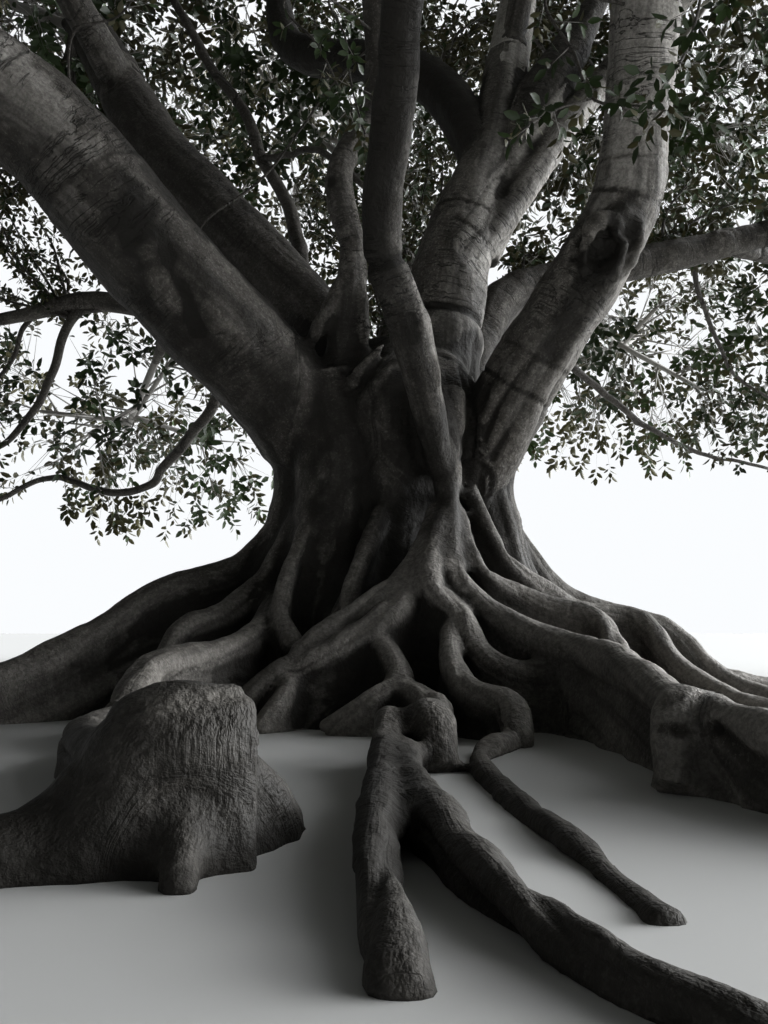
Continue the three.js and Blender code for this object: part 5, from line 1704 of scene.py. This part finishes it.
class BANYAN_OT_foliage(bpy.types.Operator):
    """Grows the twigs and leaves of every mass."""

    bl_idname = "banyan.foliage"
    bl_label = "Foliage"

    def execute(self, context):
        sizes = context.scene.banyan_sizes
        colours = context.scene.banyan_colours
        group = leaf_colour_group()
        shades = [leaf_material(f"leaf_{i}", group, colours, gain) for i, gain in enumerate(LEAF_SHADES)]
        start, end = hanging_shoots()
        leaves = Gather()
        twigs = Gather()
        leaves.add(*leaves_on(start, end, np.arange(len(start)) % 7, sizes, HANGING_LEAF))
        twigs.add(*spikes(start, end, STALK_RADIUS))
        self.pieces("leaves_hanging", leaves, [shades[i] for i in HANGING_SHADES], twigs)
        paths = [bough_path(points, mass) for _, _, points, mass in BOUGHS]
        limbs = np.vstack([along(path, LIMB_STATIONS) for path in paths])
        for name, places in LEAF_GROUPS.items():
            leaves = Gather()
            twigs = Gather()
            for place in places:
                index = PLACES.index(place)
                grow_mass(index, paths[index], limbs, sizes, twigs, leaves)
            self.pieces(name, leaves, shades, twigs, [f"foliage_{place}" for place in places])
        return {"FINISHED"}

    def pieces(self, name, leaves, shades, twigs, nodes=()):
        """The piece of the leaves, which stands for the nodes, and that of their twigs."""
        make_piece(name, leaves.mesh(name), shades, "leaves", nodes)
        name = name.replace("leaves", "twigs")
        bark = bpy.data.materials["bough_bark"]
        make_piece(name, set_tone(twigs.mesh(name), STALK_TONE), [bark], "bough_bark")


class BANYAN_OT_stage(bpy.types.Operator):
    """Sets the floor, the sky and the camera."""

    bl_idname = "banyan.stage"
    bl_label = "Stage"

    def execute(self, context):
        colours = context.scene.banyan_colours
        half = FLOOR_HALF
        corners = [(-half, -half, 0), (half, -half, 0), (half, half, 0), (-half, half, 0)]
        mesh = bpy.data.meshes.new("floor")
        mesh.from_pydata(corners, [], [(0, 1, 2, 3)])
        floor = object_of("floor", mesh)
        material = new_material("floor")
        shader_of(material).inputs["Base Color"].default_value = (*colours.floor, 1)
        shader_of(material).inputs["Roughness"].default_value = FLOOR_ROUGHNESS
        mesh.materials.append(material)
        self.sky(context.scene)
        data = bpy.data.cameras.new("camera")
        data.sensor_width = SENSOR
        data.lens = FOCAL_PIXELS / FRAME_HEIGHT * SENSOR
        data.clip_end = CLIP_END
        camera = bpy.data.objects.new("camera", data)
        camera.location = CAMERA_PLACE
        camera.rotation_euler = (math.pi / 2 + CAMERA_PITCH, 0, 0)
        context.scene.view_settings.view_transform = "Standard"
        context.scene.collection.objects.link(camera)
        context.scene.camera = camera
        return {"FINISHED"}

    def sky(self, scene):
        """A pale sky, brighter behind the tree, and round one direction by key * max(0, cos angle)^power."""
        world = bpy.data.worlds.new("sky")
        world.use_nodes = True
        scene.world = world
        tree = world.node_tree
        where = put(tree, "ShaderNodeTexCoord").outputs["Generated"]
        near = put(tree, "ShaderNodeVectorMath", {1: Vector(KEY_DIRECTION).normalized()}, {0: where},
                   operation="DOT_PRODUCT").outputs["Value"]
        lobe = math_node(tree, "POWER", math_node(tree, "MAXIMUM", near, 0.0), KEY_POWER)
        behind = put(tree, "ShaderNodeSeparateXYZ", links={"Vector": where}).outputs["Y"]
        even = plus(tree, times(tree, behind, SKY_CHANGE), SKY_STRENGTH)
        light = plus(tree, times(tree, lobe, KEY_STRENGTH), even)
        seen = put(tree, "ShaderNodeLightPath").outputs["Is Camera Ray"]
        hidden = minus(tree, 1.0, seen)
        strength = plus(tree, times(tree, light, hidden), seen)
        background = tree.nodes["Background"]
        background.inputs["Color"].default_value = SKY_COLOUR
        tree.links.new(strength, background.inputs["Strength"])


class BANYAN_PT_panel(bpy.types.Panel):
    """Lists the sizes, the colours and the operators."""

    bl_label = "Banyan fig"
    bl_space_type = "VIEW_3D"
    bl_region_type = "UI"
    bl_category = "Banyan"

    def draw(self, context):
        for group in (context.scene.banyan_sizes, context.scene.banyan_colours):
            for key in group.__annotations__:
                self.layout.prop(group, key)
        for operator in (BANYAN_OT_wood, BANYAN_OT_foliage, BANYAN_OT_stage):
            self.layout.operator(operator.bl_idname)


CLASSES = (BanyanSizes, BanyanColours, BANYAN_OT_wood, BANYAN_OT_foliage, BANYAN_OT_stage, BANYAN_PT_panel)


def register():
    """Registers the classes and the scene's properties."""
    for cls in CLASSES:
        bpy.utils.register_class(cls)
    bpy.types.Scene.banyan_sizes = bpy.props.PointerProperty(type=BanyanSizes)
    bpy.types.Scene.banyan_colours = bpy.props.PointerProperty(type=BanyanColours)


def unregister():
    """Takes the classes and the properties away again."""
    del bpy.types.Scene.banyan_sizes
    del bpy.types.Scene.banyan_colours
    for cls in reversed(CLASSES):
        bpy.utils.unregister_class(cls)


def main():
    """Makes every piece in order."""
    register()
    bpy.ops.banyan.wood()
    bpy.ops.banyan.foliage()
    bpy.ops.banyan.stage()


if __name__ == "__main__":
    main()
